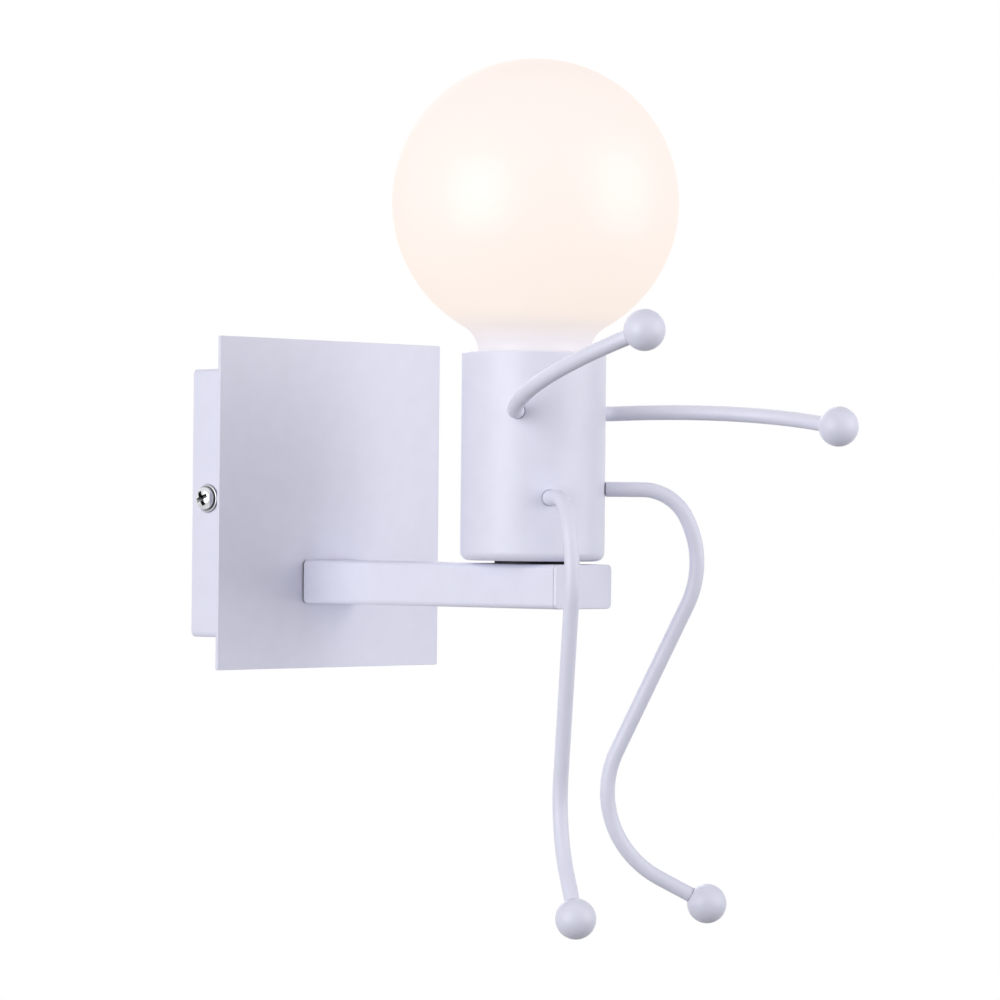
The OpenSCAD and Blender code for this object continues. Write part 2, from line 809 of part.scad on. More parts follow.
module holder_base() {
  color(phenolic) translate([0, cup_y, base_z]) difference() {
    cylinder(d = holder_d, h = base_h);
    translate([0, 0, base_floor]) cylinder(r = holder_d / 2 - holder_t, h = base_h);
    translate([0, 0, -cut]) cylinder(r = nipple_d / 2 + fit_gap, h = base_floor + 2 * cut);
  }
}

module holder_body() {
  color(phenolic) translate([0, cup_y, base_top]) difference() {
    cylinder(d = holder_d, h = body_h);
    translate([0, 0, body_floor]) cylinder(r = holder_d / 2 - holder_t, h = body_h);
    for (s = [-1, 1]) {
      translate([s * terminal_x, 0, -cut])
        cylinder(r = wire_d / 2 + fit_gap, h = terminal_depth + fit_gap + cut);
      translate([s * holder_screw_x, 0, -cut])
        cylinder(r = clamp_d / 2 + fit_gap, h = holder_screw_len + fit_gap + cut);
    }
  }
}

module screw_shell() {
  color(brass) translate([0, cup_y, body_in_z])
    ring(shell_in_r + contact_t, shell_in_r, shell_h);
}

// Strip folded back over itself, so that its top leaf springs
module centre_contact() {
  color(brass) translate([0, cup_y + contact_w / 2, body_in_z]) rotate([90, 0, 0])
    linear_extrude(contact_w) polygon([
      [-contact_reach, 0],
      [contact_reach, 0],
      [contact_reach, spring_h - 2 * contact_t],
      [-contact_reach / 2, spring_h],
      [-contact_reach / 2, spring_h - contact_t],
      [contact_reach - contact_t, spring_h - 3 * contact_t],
      [contact_reach - contact_t, contact_t],
      [-contact_reach, contact_t]]);
}

module holder_screws() {
  color(brass) for (s = [-1, 1]) translate([s * holder_screw_x, cup_y, base_top]) rotate([180, 0, 0])
    pan_screw(clamp_d, small_head_d, small_head_h, holder_screw_len);
}

// Bulb

// Sector of a ring, between two angles
module ring_sector(outer_r, inner_r, from, to) {
  function out(angle) = 2 * outer_r * [cos(angle), sin(angle)];
  intersection() {
    difference() {
      circle(outer_r);
      circle(inner_r);
    }
    polygon([[0, 0], out(from), out((from + to) / 2), out(to)]);
  }
}

// Blown glass: a globe that blends into a neck, which tapers to the cap
module bulb_globe() {
  globe_r = globe_d / 2;
  low = neck_low_z - globe_z;
  blend_r = neck_blend_r + blend_step;
  blend_from = atan2(-blend_z, -blend_x) - blend_lap;
  color(opal) translate([0, cup_y, globe_z]) {
    rotate_extrude() ring_sector(globe_r, globe_r - glass_t, atan2(blend_z, blend_x), 90);
    rotate_extrude() {
      translate([blend_x, blend_z]) ring_sector(blend_r + glass_t, blend_r, blend_from, 180);
      polygon([
        [neck_r - glass_t, blend_z + bend_lap],
        [neck_r, blend_z + bend_lap],
        [neck_r, blend_z],
        [neck_low_r, low],
        [neck_low_r - glass_t, low],
        [neck_r - glass_t, blend_z]]);
    }
  }
}

module bulb_cap() {
  color(chrome) translate([0, cup_y, tip_z]) rotate_extrude() difference() {
    union() {
      translate([0, insulator_h]) square([cap_d / 2, cap_h - insulator_h]);
      translate([0, cap_h - cap_lip_h]) square([neck_low_r, cap_lip_h]);
    }
    translate([0, insulator_h + cap_t]) square([cap_d / 2 - cap_t, cap_h]);
    square([tip_r, cap_h]);
  }
}

module bulb_insulator() {
  color(phenolic) translate([0, cup_y, tip_z]) rotate_extrude() polygon([
    [0, tip_t],
    [tip_r, tip_t],
    [insulator_top_r, insulator_h],
    [0, insulator_h]]);
}

module bulb_contact() {
  color(zinc) translate([0, cup_y, tip_z]) cylinder(r = tip_r, h = tip_t);
}

// Glass stem with a flare that closes the neck
module bulb_stem() {
  flare_r = neck_low_r - glass_t - seat_gap;
  top = filament_top_z - neck_low_z;
  color([0.85, 0.90, 0.92]) translate([0, cup_y, neck_low_z]) rotate_extrude() polygon([
    [0, 0],
    [flare_r, 0],
    [flare_r, glass_t],
    [stem_tube_r, stem_flare_h],
    [stem_tube_r, filament_low_z - neck_low_z - stem_tube_r],
    [stem_r, filament_low_z - neck_low_z],
    [stem_r, top],
    [0, top]]);
}

// Puts its children round the stem, +x pointing outwards
module each_filament() {
  for (i = [0:filament_count - 1]) translate([0, cup_y, 0]) rotate(360 * (i + 0.5) / filament_count)
    children();
}

module bulb_supports() {
  inner = stem_r + fit_gap;
  reach = filament_ring_r - filament_r - fit_gap - inner;
  color(zinc) each_filament() for (z = [filament_low_z + support_inset, filament_top_z - support_inset])
    translate([inner, 0, z]) rotate([0, 90, 0]) cylinder(d = support_d, h = reach);
}

module bulb_filaments() {
  color([1, 0.85, 0.5]) each_filament() translate([filament_ring_r, 0, filament_low_z])
    cylinder(r = filament_r, h = filament_len);
}

// Limbs

module left_arm_rod() {
  arm_frame(LEFT, left_arm_raise) limb_rod(left_arm_path, arm_tail);
}

module right_arm_rod() {
  arm_frame(RIGHT, right_arm_raise) limb_rod(right_arm_path, arm_tail);
}

module left_leg_rod() {
  leg_frame(LEFT, left_leg_spread) limb_rod(left_leg_path, leg_tail);
}

module right_leg_rod() {
  leg_frame(RIGHT, right_leg_spread) limb_rod(right_leg_path, leg_tail);
}

module left_hand() {
  arm_frame(LEFT, left_arm_raise) limb_ball(left_arm_path, arm_tail);
}

module right_hand() {
  arm_frame(RIGHT, right_arm_raise) limb_ball(right_arm_path, arm_tail);
}

module left_foot() {
  leg_frame(LEFT, left_leg_spread) limb_ball(left_leg_path, leg_tail);
}

module right_foot() {
  leg_frame(RIGHT, right_leg_spread) limb_ball(right_leg_path, leg_tail);
}

module left_arm_nut() {
  arm_frame(LEFT, left_arm_raise) limb_nut();
}

module right_arm_nut() {
  arm_frame(RIGHT, right_arm_raise) limb_nut();
}

module left_leg_nut() {
  leg_frame(LEFT, left_leg_spread) limb_nut();
}

module right_leg_nut() {
  leg_frame(RIGHT, right_leg_spread) limb_nut();
}

// Washers between the nuts and the cup's round wall, one behind each hole
module limb_washers() {
  color(zinc) each_limb_hole() translate([0, 0, washer_face - washer_t])
    ring(limb_washer_d / 2, thread_d / 2 + fit_gap, washer_t);
}

wall_bracket();
canopy_box();
face_plate();
side_screws();
side_washers();
terminal_block();
terminal_tubes();
clamp_screws();
block_screw();
earth_screw();
earth_wire();
live_wire();
neutral_wire();
wire_bush();
arm_tube();
arm_end_cap();
arm_root_block();
arm_screws();
arm_screw_washers();
spacer_washer();
lamp_cup();
nipple();
nipple_nuts();
holder_base();
holder_body();
screw_shell();
centre_contact();
holder_screws();
bulb_globe();
bulb_cap();
bulb_insulator();
bulb_contact();
bulb_stem();
bulb_supports();
bulb_filaments();
left_arm_rod();
right_arm_rod();
left_leg_rod();
right_leg_rod();
left_hand();
right_hand();
left_foot();
right_foot();
left_arm_nut();
right_arm_nut();
left_leg_nut();
right_leg_nut();
limb_washers();
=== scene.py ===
"""Looks of a small stick-figure wall sconce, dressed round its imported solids."""

import json
import math

import bmesh
import bpy
from bpy.props import FloatProperty, FloatVectorProperty, IntProperty, PointerProperty
from mathutils import Matrix, Vector

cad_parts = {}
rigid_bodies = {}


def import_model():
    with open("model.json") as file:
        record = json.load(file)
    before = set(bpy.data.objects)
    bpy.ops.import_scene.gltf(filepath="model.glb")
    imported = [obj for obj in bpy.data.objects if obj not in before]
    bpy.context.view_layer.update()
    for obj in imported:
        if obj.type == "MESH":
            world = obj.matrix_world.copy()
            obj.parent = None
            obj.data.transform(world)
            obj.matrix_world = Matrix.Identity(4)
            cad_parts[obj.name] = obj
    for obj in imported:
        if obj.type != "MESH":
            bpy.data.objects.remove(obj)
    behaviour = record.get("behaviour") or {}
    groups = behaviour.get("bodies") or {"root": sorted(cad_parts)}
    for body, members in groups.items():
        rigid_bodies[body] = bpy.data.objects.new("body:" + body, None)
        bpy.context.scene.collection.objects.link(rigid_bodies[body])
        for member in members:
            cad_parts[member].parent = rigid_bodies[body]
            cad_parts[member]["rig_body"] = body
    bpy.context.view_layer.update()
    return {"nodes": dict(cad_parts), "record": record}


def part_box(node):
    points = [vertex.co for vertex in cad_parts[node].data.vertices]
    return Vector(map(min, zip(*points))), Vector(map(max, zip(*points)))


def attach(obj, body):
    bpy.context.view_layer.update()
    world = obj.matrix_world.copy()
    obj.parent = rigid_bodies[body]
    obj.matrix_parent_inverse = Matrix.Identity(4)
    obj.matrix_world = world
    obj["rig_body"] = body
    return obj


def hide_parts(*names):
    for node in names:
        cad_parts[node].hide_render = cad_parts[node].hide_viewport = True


bl_info = {
    "name": "Stick Figure Wall Sconce",
    "version": (1, 0, 0),
    "blender": (4, 5, 0),
    "location": "View3D > Sidebar > Sconce",
    "description": "Builds the painted canopy, arm, cup, limbs and lit globe of a wall sconce",
    "category": "Object",
}

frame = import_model()
MM = 0.001


def corners(node):
    """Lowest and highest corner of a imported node, in millimetres."""
    low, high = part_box(node)
    return low / MM, high / MM


BOX_LOW, BOX_HIGH = corners("canopy_box")
ARM_LOW, ARM_HIGH = corners("arm_tube")
CUP_LOW, CUP_HIGH = corners("lamp_cup")
GLOBE_LOW, GLOBE_HIGH = corners("bulb_globe")
CUP_Y = ((CUP_LOW + CUP_HIGH) / 2).y
ARM_Z = (ARM_LOW.z + ARM_HIGH.z) / 2

# Sizes repeated from the part's source, in millimetres
SHEET = 1.0
ARM_WALL = 1.2
ARM_CORNER = 1.8
BOX_CORNER = 2.0
CUP_CORNER = 3.0
FIT_GAP = 0.05
SEAT_GAP = 0.15
HOLE_GAP = 0.25
NIPPLE_R = 5.0
NIPPLE_BORE_R = 3.5
NIPPLE_HOLE_R = NIPPLE_R + FIT_GAP
NIPPLE_NUT_FLATS = 14.0
NIPPLE_NUT_H = 3.0
SCREW_D = 4.0
HEAD_H = 2.6
SCREW_LEN = 11.0
SCREW_HOLE_R = SCREW_D / 2 + HOLE_GAP
SMALL_SCREW_D = 3.0
WASHER_T = 0.8
SIDE_WASHER_R = 4.6
SIDE_SCREW_OUT = 7.3
ARM_SCREW_X = 9.5
WIRE_HOLE_R = 4.0
WIRE_R = 1.1
WIRE_X = 1.35
WIRE_BEND_R = 4.0
POLE_X = 6.0
TERMINAL_X = 5.0
TERMINAL_DEPTH = 2.0
GLASS_T = 1.2
NECK_R = 18.5
NECK_BLEND_R = 10.0
NECK_LOW_R = 13.4
CAP_R = 13.0

# Thread, head and head height of the pan-head screws
PAN_SCREW = (SCREW_D, 7.6, HEAD_H)
SMALL_PAN_SCREW = (SMALL_SCREW_D, 1.6 * SMALL_SCREW_D, 0.6 * SMALL_SCREW_D)

# Forms that only the looks have, in millimetres and degrees
CHAMFER = 0.3
FOLD_R, FOLD_MID = 1.2, 0.35
INNER_FOLD_R, INNER_FOLD_MID = 0.5, 0.15
PLATE_CORNER = 0.5
CAP_PITCH = 3.63
SIDE_SCREW_SPIN = 24.0
SEAM_DEPTH = 0.9
SEAM_W = 0.5
GROOVE = 0.12
CORNER_STEPS = 8

# Share of an edge's radius at the middle of its arc
EDGE_MID = 0.3

# Angles in degrees from which an edge of a piece stays sharp
SHARP_HEX = 28.0
SHARP_SHEET = 40.0
SHARP_ROUND = 50.0
SHARP_TURNED = 60.0

# Limbs: ball, angle of the hole from the cup's front, its height, swing from hanging, bends, last straight
# A bend has the straight before it, its radius, its angle and the twist of its plane
ARM_HOLE_Z = CUP_LOW.z + 49.1
LEFT_LEG_HOLE_Z = CUP_LOW.z + 20.8
RIGHT_LEG_HOLE_Z = CUP_LOW.z + 23.9
LIMBS = {
    "left_arm": (
        "left_hand", -63.0, ARM_HOLE_Z, 125.5,
        [(2.5, 9, 21, 0), (3.2, 78, 49.5, -18.8)], 12.1,
    ),
    "right_arm": (
        "right_hand", 63.0, ARM_HOLE_Z, -97.5,
        [(2.5, 9, 21, 0), (3.2, 78, 49.5, 18.8)], 12.1,
    ),
    "left_leg": (
        "left_foot", -37.0, LEFT_LEG_HOLE_Z, 1.0,
        [(12.1, 16.3, 62, 0), (0, 33.5, 44, 0), (59, 33, 57.5, 180)], 18.0,
    ),
    "right_leg": (
        "right_foot", 37.0, RIGHT_LEG_HOLE_Z, 8.0,
        [(12.1, 16.3, 62, 0), (0, 33.5, 53, 0), (54.5, 33, 87, 180)], 18.0,
    ),
}
ROD_D = 5.0
BALL_D = 13.2
ROD_SHORT_OF_BALL = 1.0
LIMB_HOLE_R = SCREW_D / 2 + FIT_GAP
LIMB_WASHER_R = 4.4
LIMB_NUT_FLATS = 7.0
LIMB_NUT_H = 3.0
LIMB_THREAD_OUT = 0.6
SHOULDER_R = CUP_HIGH.x + SEAT_GAP
WASHER_FACE_R = math.sqrt((CUP_HIGH.x - SHEET) ** 2 - LIMB_WASHER_R ** 2) - FIT_GAP
NUT_LOW_R = WASHER_FACE_R - WASHER_T - FIT_GAP - LIMB_NUT_H
ROOT_END_R = NUT_LOW_R - LIMB_THREAD_OUT

# Metals: colour, roughness, grains per metre, height of the marks in metres, stretch of the marks
METALS = {
    "chromed_screw": ((0.72, 0.73, 0.75), 0.12, 900.0, 0.000003),
    "zinc_steel": ((0.56, 0.57, 0.60), 0.34, 700.0, 0.000006, (1.0, 1.0, 0.15)),
    "brass": ((0.72, 0.52, 0.22), 0.26, 800.0, 0.000004),
    "nickel_cap": ((0.66, 0.65, 0.63), 0.22, 800.0, 0.000004),
}

# Plastics, rubber and the filaments' coat: colour, roughness and sheen
PLASTICS = {
    "white_nylon": ((0.83, 0.81, 0.73), 0.48),
    "black_phenolic": ((0.021, 0.019, 0.019), 0.36),
    # The near black of black_rubber, on the spacer under the cup, is painted shade for the gap between cup
    # and arm
    "black_rubber": ((0.016, 0.016, 0.016), 0.66, 0.1),
    "live_insulation": ((0.17, 0.055, 0.022), 0.42),
    "neutral_insulation": ((0.045, 0.13, 0.45), 0.42),
    "filament_phosphor": ((0.9, 0.62, 0.16), 0.6),
}
EARTH_GREEN = (0.09, 0.28, 0.05)
EARTH_YELLOW = (0.75, 0.58, 0.04)

# Lamps: setting with the power, place, point aimed at and side in metres, spread in degrees
STAGE_Y = -0.09
LAMPS = {
    "left_softbox": ("left", (-1.0, 0.02, 0.15), (0.0, STAGE_Y, 0.05), 1.0, 85.0),
    "right_softbox": ("right", (0.28, -0.76, 0.17), (0.0, STAGE_Y, 0.045), 0.78, 90.0),
    "back_lamp": ("back", (0.9, 1.1, 0.7), (0.0, STAGE_Y, 0.0), 0.9, 150.0),
    "low_lamp": ("low", (0.0, -0.06, -0.22), (0.0, -0.021, -0.10), 0.12, 70.0),
}

# Camera fitted to the photo: angles in degrees, lengths in metres, focal length in picture widths
CAMERA_AZIMUTH = -49.811
CAMERA_ELEVATION = -0.149
CAMERA_ROLL = 0.549
CAMERA_AIM = (0.0, -0.070, 0.0185)
CAMERA_RIGHT = 0.021467
CAMERA_DOWN = 0.018120
CAMERA_DISTANCE = 1.6416
CAMERA_FOCAL = 4.8755
SENSOR_WIDTH = 36.0


class CoatSettings(bpy.types.PropertyGroup):
    """Finish of the painted pieces."""

    colour: FloatVectorProperty(
        name="Paint", description="Colour of the powder coat",
        default=(0.75, 0.755, 0.89), size=3, min=0.0, max=1.0, subtype="COLOR",
    )
    roughness: FloatProperty(
        name="Roughness", description="Mean roughness of the powder coat",
        default=0.42, min=0.05, max=1.0, subtype="FACTOR",
    )
    peel: FloatProperty(
        name="Peel", description="Height of the coat's fine orange peel",
        default=0.000005, min=0.0, unit="LENGTH",
    )
    edge: FloatProperty(
        name="Edge radius", description="Radius of the paint on cut sheet edges",
        default=0.00025, min=0.00005, unit="LENGTH",
    )


class GlowSettings(bpy.types.PropertyGroup):
    """Look of the lit globe."""

    glass: FloatVectorProperty(
        name="Glass", description="Colour of the opal glass",
        default=(0.20, 0.205, 0.235), size=3, min=0.0, max=1.0, subtype="COLOR",
    )
    neck: FloatVectorProperty(
        name="Neck glow", description="Colour of the light at the globe's neck",
        default=(0.70, 0.65, 0.67), size=3, min=0.0, max=1.0, subtype="COLOR",
    )
    warm: FloatVectorProperty(
        name="Glow", description="Colour of the light round the globe's middle",
        default=(0.84, 0.73, 0.64), size=3, min=0.0, max=1.0, subtype="COLOR",
    )
    crown: FloatVectorProperty(
        name="Crown glow", description="Colour of the light at the globe's top",
        default=(0.84, 0.74, 0.67), size=3, min=0.0, max=1.0, subtype="COLOR",
    )


class RodSettings(bpy.types.PropertyGroup):
    """Fineness of the bent rods and round pieces."""

    sides: IntProperty(
        name="Rod sides", description="Faces round a bent rod",
        default=28, min=8,
    )
    arc_step: FloatProperty(
        name="Bend step", description="Largest angle between two rings of a bend",
        default=math.radians(2.5), min=math.radians(0.5), subtype="ANGLE",
    )
    turned_sides: IntProperty(
        name="Turned sides", description="Faces round a turned piece",
        default=96, min=16,
    )


class StudioSettings(bpy.types.PropertyGroup):
    """Floor, lamps and backdrop."""

    floor_drop: FloatProperty(
        name="Floor", description="Height of the studio floor",
        default=-0.52, unit="LENGTH",
    )
    floor_reach: FloatProperty(
        name="Floor reach", description="Radius of the round studio floor",
        default=3.2, min=0.5, unit="LENGTH",
    )
    left: FloatProperty(
        name="Left softbox", description="Power of the large lamp on the left",
        default=2.68, unit="POWER",
    )
    right: FloatProperty(
        name="Right softbox", description="Power of the near lamp in front, on the right",
        default=1.37, unit="POWER",
    )
    back: FloatProperty(
        name="Back lamp", description="Power of the lamp behind",
        default=3.5, unit="POWER",
    )
    low: FloatProperty(
        name="Low lamp", description="Power of the small lamp under the face plate",
        default=0.024, unit="POWER",
    )
    sky: FloatProperty(
        name="Sky", description="Strength of the even light from all sides",
        default=0.33, min=0.0,
    )


# Materials


def shader_of(name, **values):
    """New node material whose shader gets plain values; returns the material and its shader."""
    material = bpy.data.materials.new(name)
    material.use_nodes = True
    shader = material.node_tree.nodes["Principled BSDF"]
    for key, value in values.items():
        socket = shader.inputs[key.replace("_", " ")]
        socket.default_value = (*value, 1.0) if socket.type == "RGBA" else value
    return material, shader


def add_node(tree, kind, operation=None, **values):
    """New node of a kind, with its operation and plain values on its inputs."""
    node = tree.nodes.new(kind)
    if operation:
        node.operation = operation
    for key, value in values.items():
        node.inputs[key.replace("_", " ")].default_value = value
    return node


def join(tree, *pairs):
    """Links each pair of an output and an input."""
    for output, socket in pairs:
        tree.links.new(output, socket)


def ramp(tree, value, stops, interpolation="LINEAR"):
    """Colour ramp over a value, with stops of a position and a colour; returns its colour socket."""
    node = tree.nodes.new("ShaderNodeValToRGB")
    node.color_ramp.interpolation = interpolation
    elements = node.color_ramp.elements
    while len(elements) < len(stops):
        elements.new(0.5)
    for element, (position, colour) in zip(elements, stops):
        element.position = position
        element.color = (*colour, 1.0)
    tree.links.new(value, node.inputs["Fac"])
    return node.outputs["Color"]


def grain(material, scale, detail=3.0, stretch=(1.0, 1.0, 1.0)):
    """Noise in the piece's own space, in grains per metre; returns its value socket."""
    tree = material.node_tree
    place = tree.nodes.new("ShaderNodeTexCoord")
    mapping = add_node(tree, "ShaderNodeMapping", Scale=stretch)
    noise = add_node(tree, "ShaderNodeTexNoise", Scale=scale, Detail=detail)
    join(
        tree,
        (place.outputs["Object"], mapping.inputs["Vector"]),
        (mapping.outputs["Vector"], noise.inputs["Vector"]),
    )
    return noise.outputs["Fac"]


def tint(material, shader, value, low, high):
    """Runs the base colour from one tone to another."""
    tone = ramp(material.node_tree, value, [(0.3, low), (0.7, high)])
    material.node_tree.links.new(tone, shader.inputs["Base Color"])


def vary(material, shader, socket, value, low, high):
    """Runs a number socket between two values."""
    tree = material.node_tree
    span = add_node(tree, "ShaderNodeMapRange", From_Min=0.25, From_Max=0.75, To_Min=low, To_Max=high)
    join(tree, (value, span.inputs["Value"]), (span.outputs["Result"], shader.inputs[socket]))


def relief(material, shader, value, height):
    """Small relief of the surface, with its height in metres."""
    tree = material.node_tree
    bump = add_node(tree, "ShaderNodeBump", Strength=1.0, Distance=height)
    join(tree, (value, bump.inputs["Height"]), (bump.outputs["Normal"], shader.inputs["Normal"]))


def painted_nook_shade(material, shader, reach, power):
    """Painted shade: darkens the base colour in nooks narrower than a reach, in metres, where shade falls.
    """
    tree = material.node_tree
    # Painted shade: the colour before it is darkened in nooks by ambient occlusion
    unshaded = shader.inputs["Base Color"].links[0].from_socket
    nook = add_node(tree, "ShaderNodeAmbientOcclusion", Distance=reach)
    nook.samples = 8
    depth = add_node(tree, "ShaderNodeMath", "POWER")
    depth.inputs[1].default_value = power
    darker = add_node(tree, "ShaderNodeVectorMath", "SCALE")
    join(
        tree,
        (nook.outputs["AO"], depth.inputs[0]),
        (unshaded, darker.inputs["Vector"]),
        (depth.outputs["Value"], darker.inputs["Scale"]),
        (darker.outputs["Vector"], shader.inputs["Base Color"]),
    )


def seen_directly(tree):
    """1 on rays that show the backdrop to the camera, in metal or through glass, else 0."""
    path = tree.nodes.new("ShaderNodeLightPath")
    seen = path.outputs["Is Camera Ray"]
    for ray in ("Is Glossy Ray", "Is Transmission Ray"):
        either = add_node(tree, "ShaderNodeMath", "MAXIMUM")
        join(tree, (seen, either.inputs[0]), (path.outputs[ray], either.inputs[1]))
        seen = either.outputs["Value"]
    return seen


def shade(colour, factor):
    """Colour made darker or lighter."""
    return tuple(min(1.0, c * factor) for c in colour)


def powder_coat(name, settings):
    """Satin powder coat with a fine orange peel and painted shade in its nooks and joints."""
    colour, rough = tuple(settings.colour), settings.roughness
    material, shader = shader_of(name, Roughness=rough, Coat_Weight=0.12, Coat_Roughness=0.3)
    tint(material, shader, grain(material, 140.0, 4.0), shade(colour, 0.985), shade(colour, 1.015))
    # Painted shade: darkens the coat in joints, grooves and inner corners narrower than 0.6 mm
    painted_nook_shade(material, shader, 0.0006, 1.3)
    vary(material, shader, "Roughness", grain(material, 420.0), rough - 0.04, rough + 0.04)
    relief(material, shader, grain(material, 900.0, 2.0), settings.peel)
    return material


def plated(name, colour, rough, scale, height, stretch=(1.0, 1.0, 1.0)):
    """Plated or bare metal with fine marks and painted shade in its nooks."""
    material, shader = shader_of(name, Metallic=1.0)
    tint(material, shader, grain(material, scale * 0.2, 4.0), shade(colour, 0.93), shade(colour, 1.05))
    # Painted shade: darkens the metal in recesses narrower than 2 mm, such as the screws' cross recesses
    # and washer rims
    painted_nook_shade(material, shader, 0.002, 2.4)
    vary(material, shader, "Roughness", grain(material, scale, 3.0, stretch), rough * 0.8, rough * 1.25)
    relief(material, shader, grain(material, scale * 2.0, 2.0, stretch), height)
    return material


def moulded(name, colour, rough, sheen=0.0):
    """Moulded plastic or rubber with a faint grain."""
    scale, height = 900.0, 0.00001
    material, shader = shader_of(name, Sheen_Weight=sheen)
    tint(material, shader, grain(material, scale * 0.15, 3.0), shade(colour, 0.96), shade(colour, 1.04))
    vary(material, shader, "Roughness", grain(material, scale * 0.5), rough - 0.05, rough + 0.05)
    relief(material, shader, grain(material, scale, 2.0), height)
    return material


def opal_glass(name, settings):
    """Lit opal glass, dimmer towards the neck, where the cap shades it."""
    material, shader = shader_of(
        name, Base_Color=settings.glass, Specular_IOR_Level=0.0, Metallic=0.14,
        Specular_Tint=(0.4, 0.4, 0.4), Emission_Strength=1.0,
    )
    tree = material.node_tree
    vary(material, shader, "Roughness", grain(material, 60.0, 2.0), 0.31, 0.35)
    place = tree.nodes.new("ShaderNodeTexCoord")
    split = tree.nodes.new("ShaderNodeSeparateXYZ")
    low, high = GLOBE_LOW.z * MM, GLOBE_HIGH.z * MM
    height = add_node(tree, "ShaderNodeMapRange", From_Min=low, From_Max=high)
    stops = [(0.14, settings.neck), (0.25, settings.warm), (1.0, settings.crown)]
    glow = ramp(tree, height.outputs["Result"], stops, "EASE")
    join(
        tree,
        (place.outputs["Object"], split.inputs["Vector"]),
        (split.outputs["Z"], height.inputs["Value"]),
        (glow, shader.inputs["Emission Color"]),
    )
    material.cycles.emission_sampling = "NONE"
    return material


def clear_glass(name):
    """Clear glass of the bulb's stem."""
    material, shader = shader_of(
        name, Base_Color=(0.9, 0.94, 0.95), Transmission_Weight=1.0, IOR=1.47
    )
    vary(material, shader, "Roughness", grain(material, 200.0), 0.03, 0.08)
    return material


def striped_insulation(name, ground, stripe):
    """Earth insulation, a stripe of another colour along two sides of the wire."""
    material, shader = shader_of(name)
    tree = material.node_tree
    place = tree.nodes.new("ShaderNodeTexCoord")
    split = tree.nodes.new("ShaderNodeSeparateXYZ")
    side = add_node(tree, "ShaderNodeMath", "ABSOLUTE")
    colour = ramp(tree, side.outputs["Value"], [(0.55, ground), (0.6, stripe)])
    join(
        tree,
        (place.outputs["Normal"], split.inputs["Vector"]),
        (split.outputs["X"], side.inputs[0]),
        (colour, shader.inputs["Base Color"]),
    )
    vary(material, shader, "Roughness", grain(material, 500.0), 0.38, 0.48)
    return material


def finish(slot):
    """Material of one of the record's slots, made on first use."""
    name = "finish_" + slot
    made = bpy.data.materials.get(name)
    if made:
        return made
    if slot in METALS:
        return plated(name, *METALS[slot])
    if slot in PLASTICS:
        return moulded(name, *PLASTICS[slot])
    if slot == "white_paint":
        return powder_coat(name, bpy.context.scene.sconce_coat)
    if slot == "opal_glass":
        return opal_glass(name, bpy.context.scene.sconce_glow)
    if slot == "clear_glass":
        return clear_glass(name)
    if slot == "earth_insulation":
        return striped_insulation(name, EARTH_GREEN, EARTH_YELLOW)
    raise ValueError("no finish for slot " + slot)


# Mesh helpers, in millimetres


def rounded(points, steps=5):
    """Closed outline through corners (x, y, radius), each corner turned into an arc."""
    outline = []
    count = len(points)
    for i, (x, y, r) in enumerate(points):
        here = Vector((x, y))
        if r <= 0:
            outline.append(here)
            continue
        before = (Vector(points[i - 1][:2]) - here).normalized()
        after = (Vector(points[(i + 1) % count][:2]) - here).normalized()
        half = before.angle(after) / 2
        centre = here + (before + after).normalized() * (r / math.sin(half))
        start = here + before * (r / math.tan(half)) - centre
        end = here + after * (r / math.tan(half)) - centre
        sweep = start.angle_signed(end)
        for k in range(steps + 1):
            angle = -sweep * k / steps
            across = start.x * math.cos(angle) - start.y * math.sin(angle)
            along = start.x * math.sin(angle) + start.y * math.cos(angle)
            outline.append(centre + Vector((across, along)))
    return outline


def rectangle(half_w, half_h, r, inset=0.0, steps=5):
    """Outline of a rectangle with round corners, drawn in by an inset."""
    w, h, r = half_w - inset, half_h - inset, max(r - inset, 0.05)
    return rounded([(w, h, r), (-w, h, r), (-w, -h, r), (w, -h, r)], steps)


def turns(sides):
    """Equal angles round a circle."""
    return [2 * math.pi * k / sides for k in range(sides)]


def polar(r, a, z):
    """Point at a radius, an angle and a height."""
    return Vector((r * math.cos(a), r * math.sin(a), z))


def hoops(profile, sides):
    """Level circles, one for each radius and height of a profile."""
    return [[polar(r, a, z) for a in turns(sides)] for r, z in profile]


def at_height(outline, z):
    """Flat outline as a loop at one height."""
    return [Vector((p.x, p.y, z)) for p in outline]


def framed(half_w, half_h, r, z_mid, steps, profile):
    """Rectangles that face the room, one for each inset and depth of a profile."""
    return [
        [Vector((p.x, y, p.y + z_mid)) for p in rectangle(half_w, half_h, r, inset, steps)]
        for inset, y in profile
    ]


def edge_profile(r, face, inward):
    """Inset and depth of the three loops that round an edge, from its face inwards."""
    return [(r, face), (r * EDGE_MID, face + inward * r * EDGE_MID), (0.0, face + inward * r)]


def grown(loop, wall):
    """Loop moved out from its axis by a wall's thickness."""
    out = [(p.xy.length + wall) / p.xy.length for p in loop]
    return [Vector((p.x * factor, p.y * factor, p.z)) for p, factor in zip(loop, out)]


def loft(loops, ring=False, place=None, bm=None):
    """Bmesh with a skin over loops of equal length, with flat ends, or joined up into a ring."""
    if bm is None:
        bm = bmesh.new()
    rows = [[bm.verts.new(place @ p if place else p) for p in loop] for loop in loops]
    pairs = list(zip(rows, rows[1:]))
    if ring:
        pairs.append((rows[-1], rows[0]))
    for low, high in pairs:
        for k in range(len(low)):
            n = (k + 1) % len(low)
            bm.faces.new((low[k], low[n], high[n], high[k]))
    if not ring:
        bm.faces.new(rows[0][::-1])
        bm.faces.new(rows[-1])
    return bm


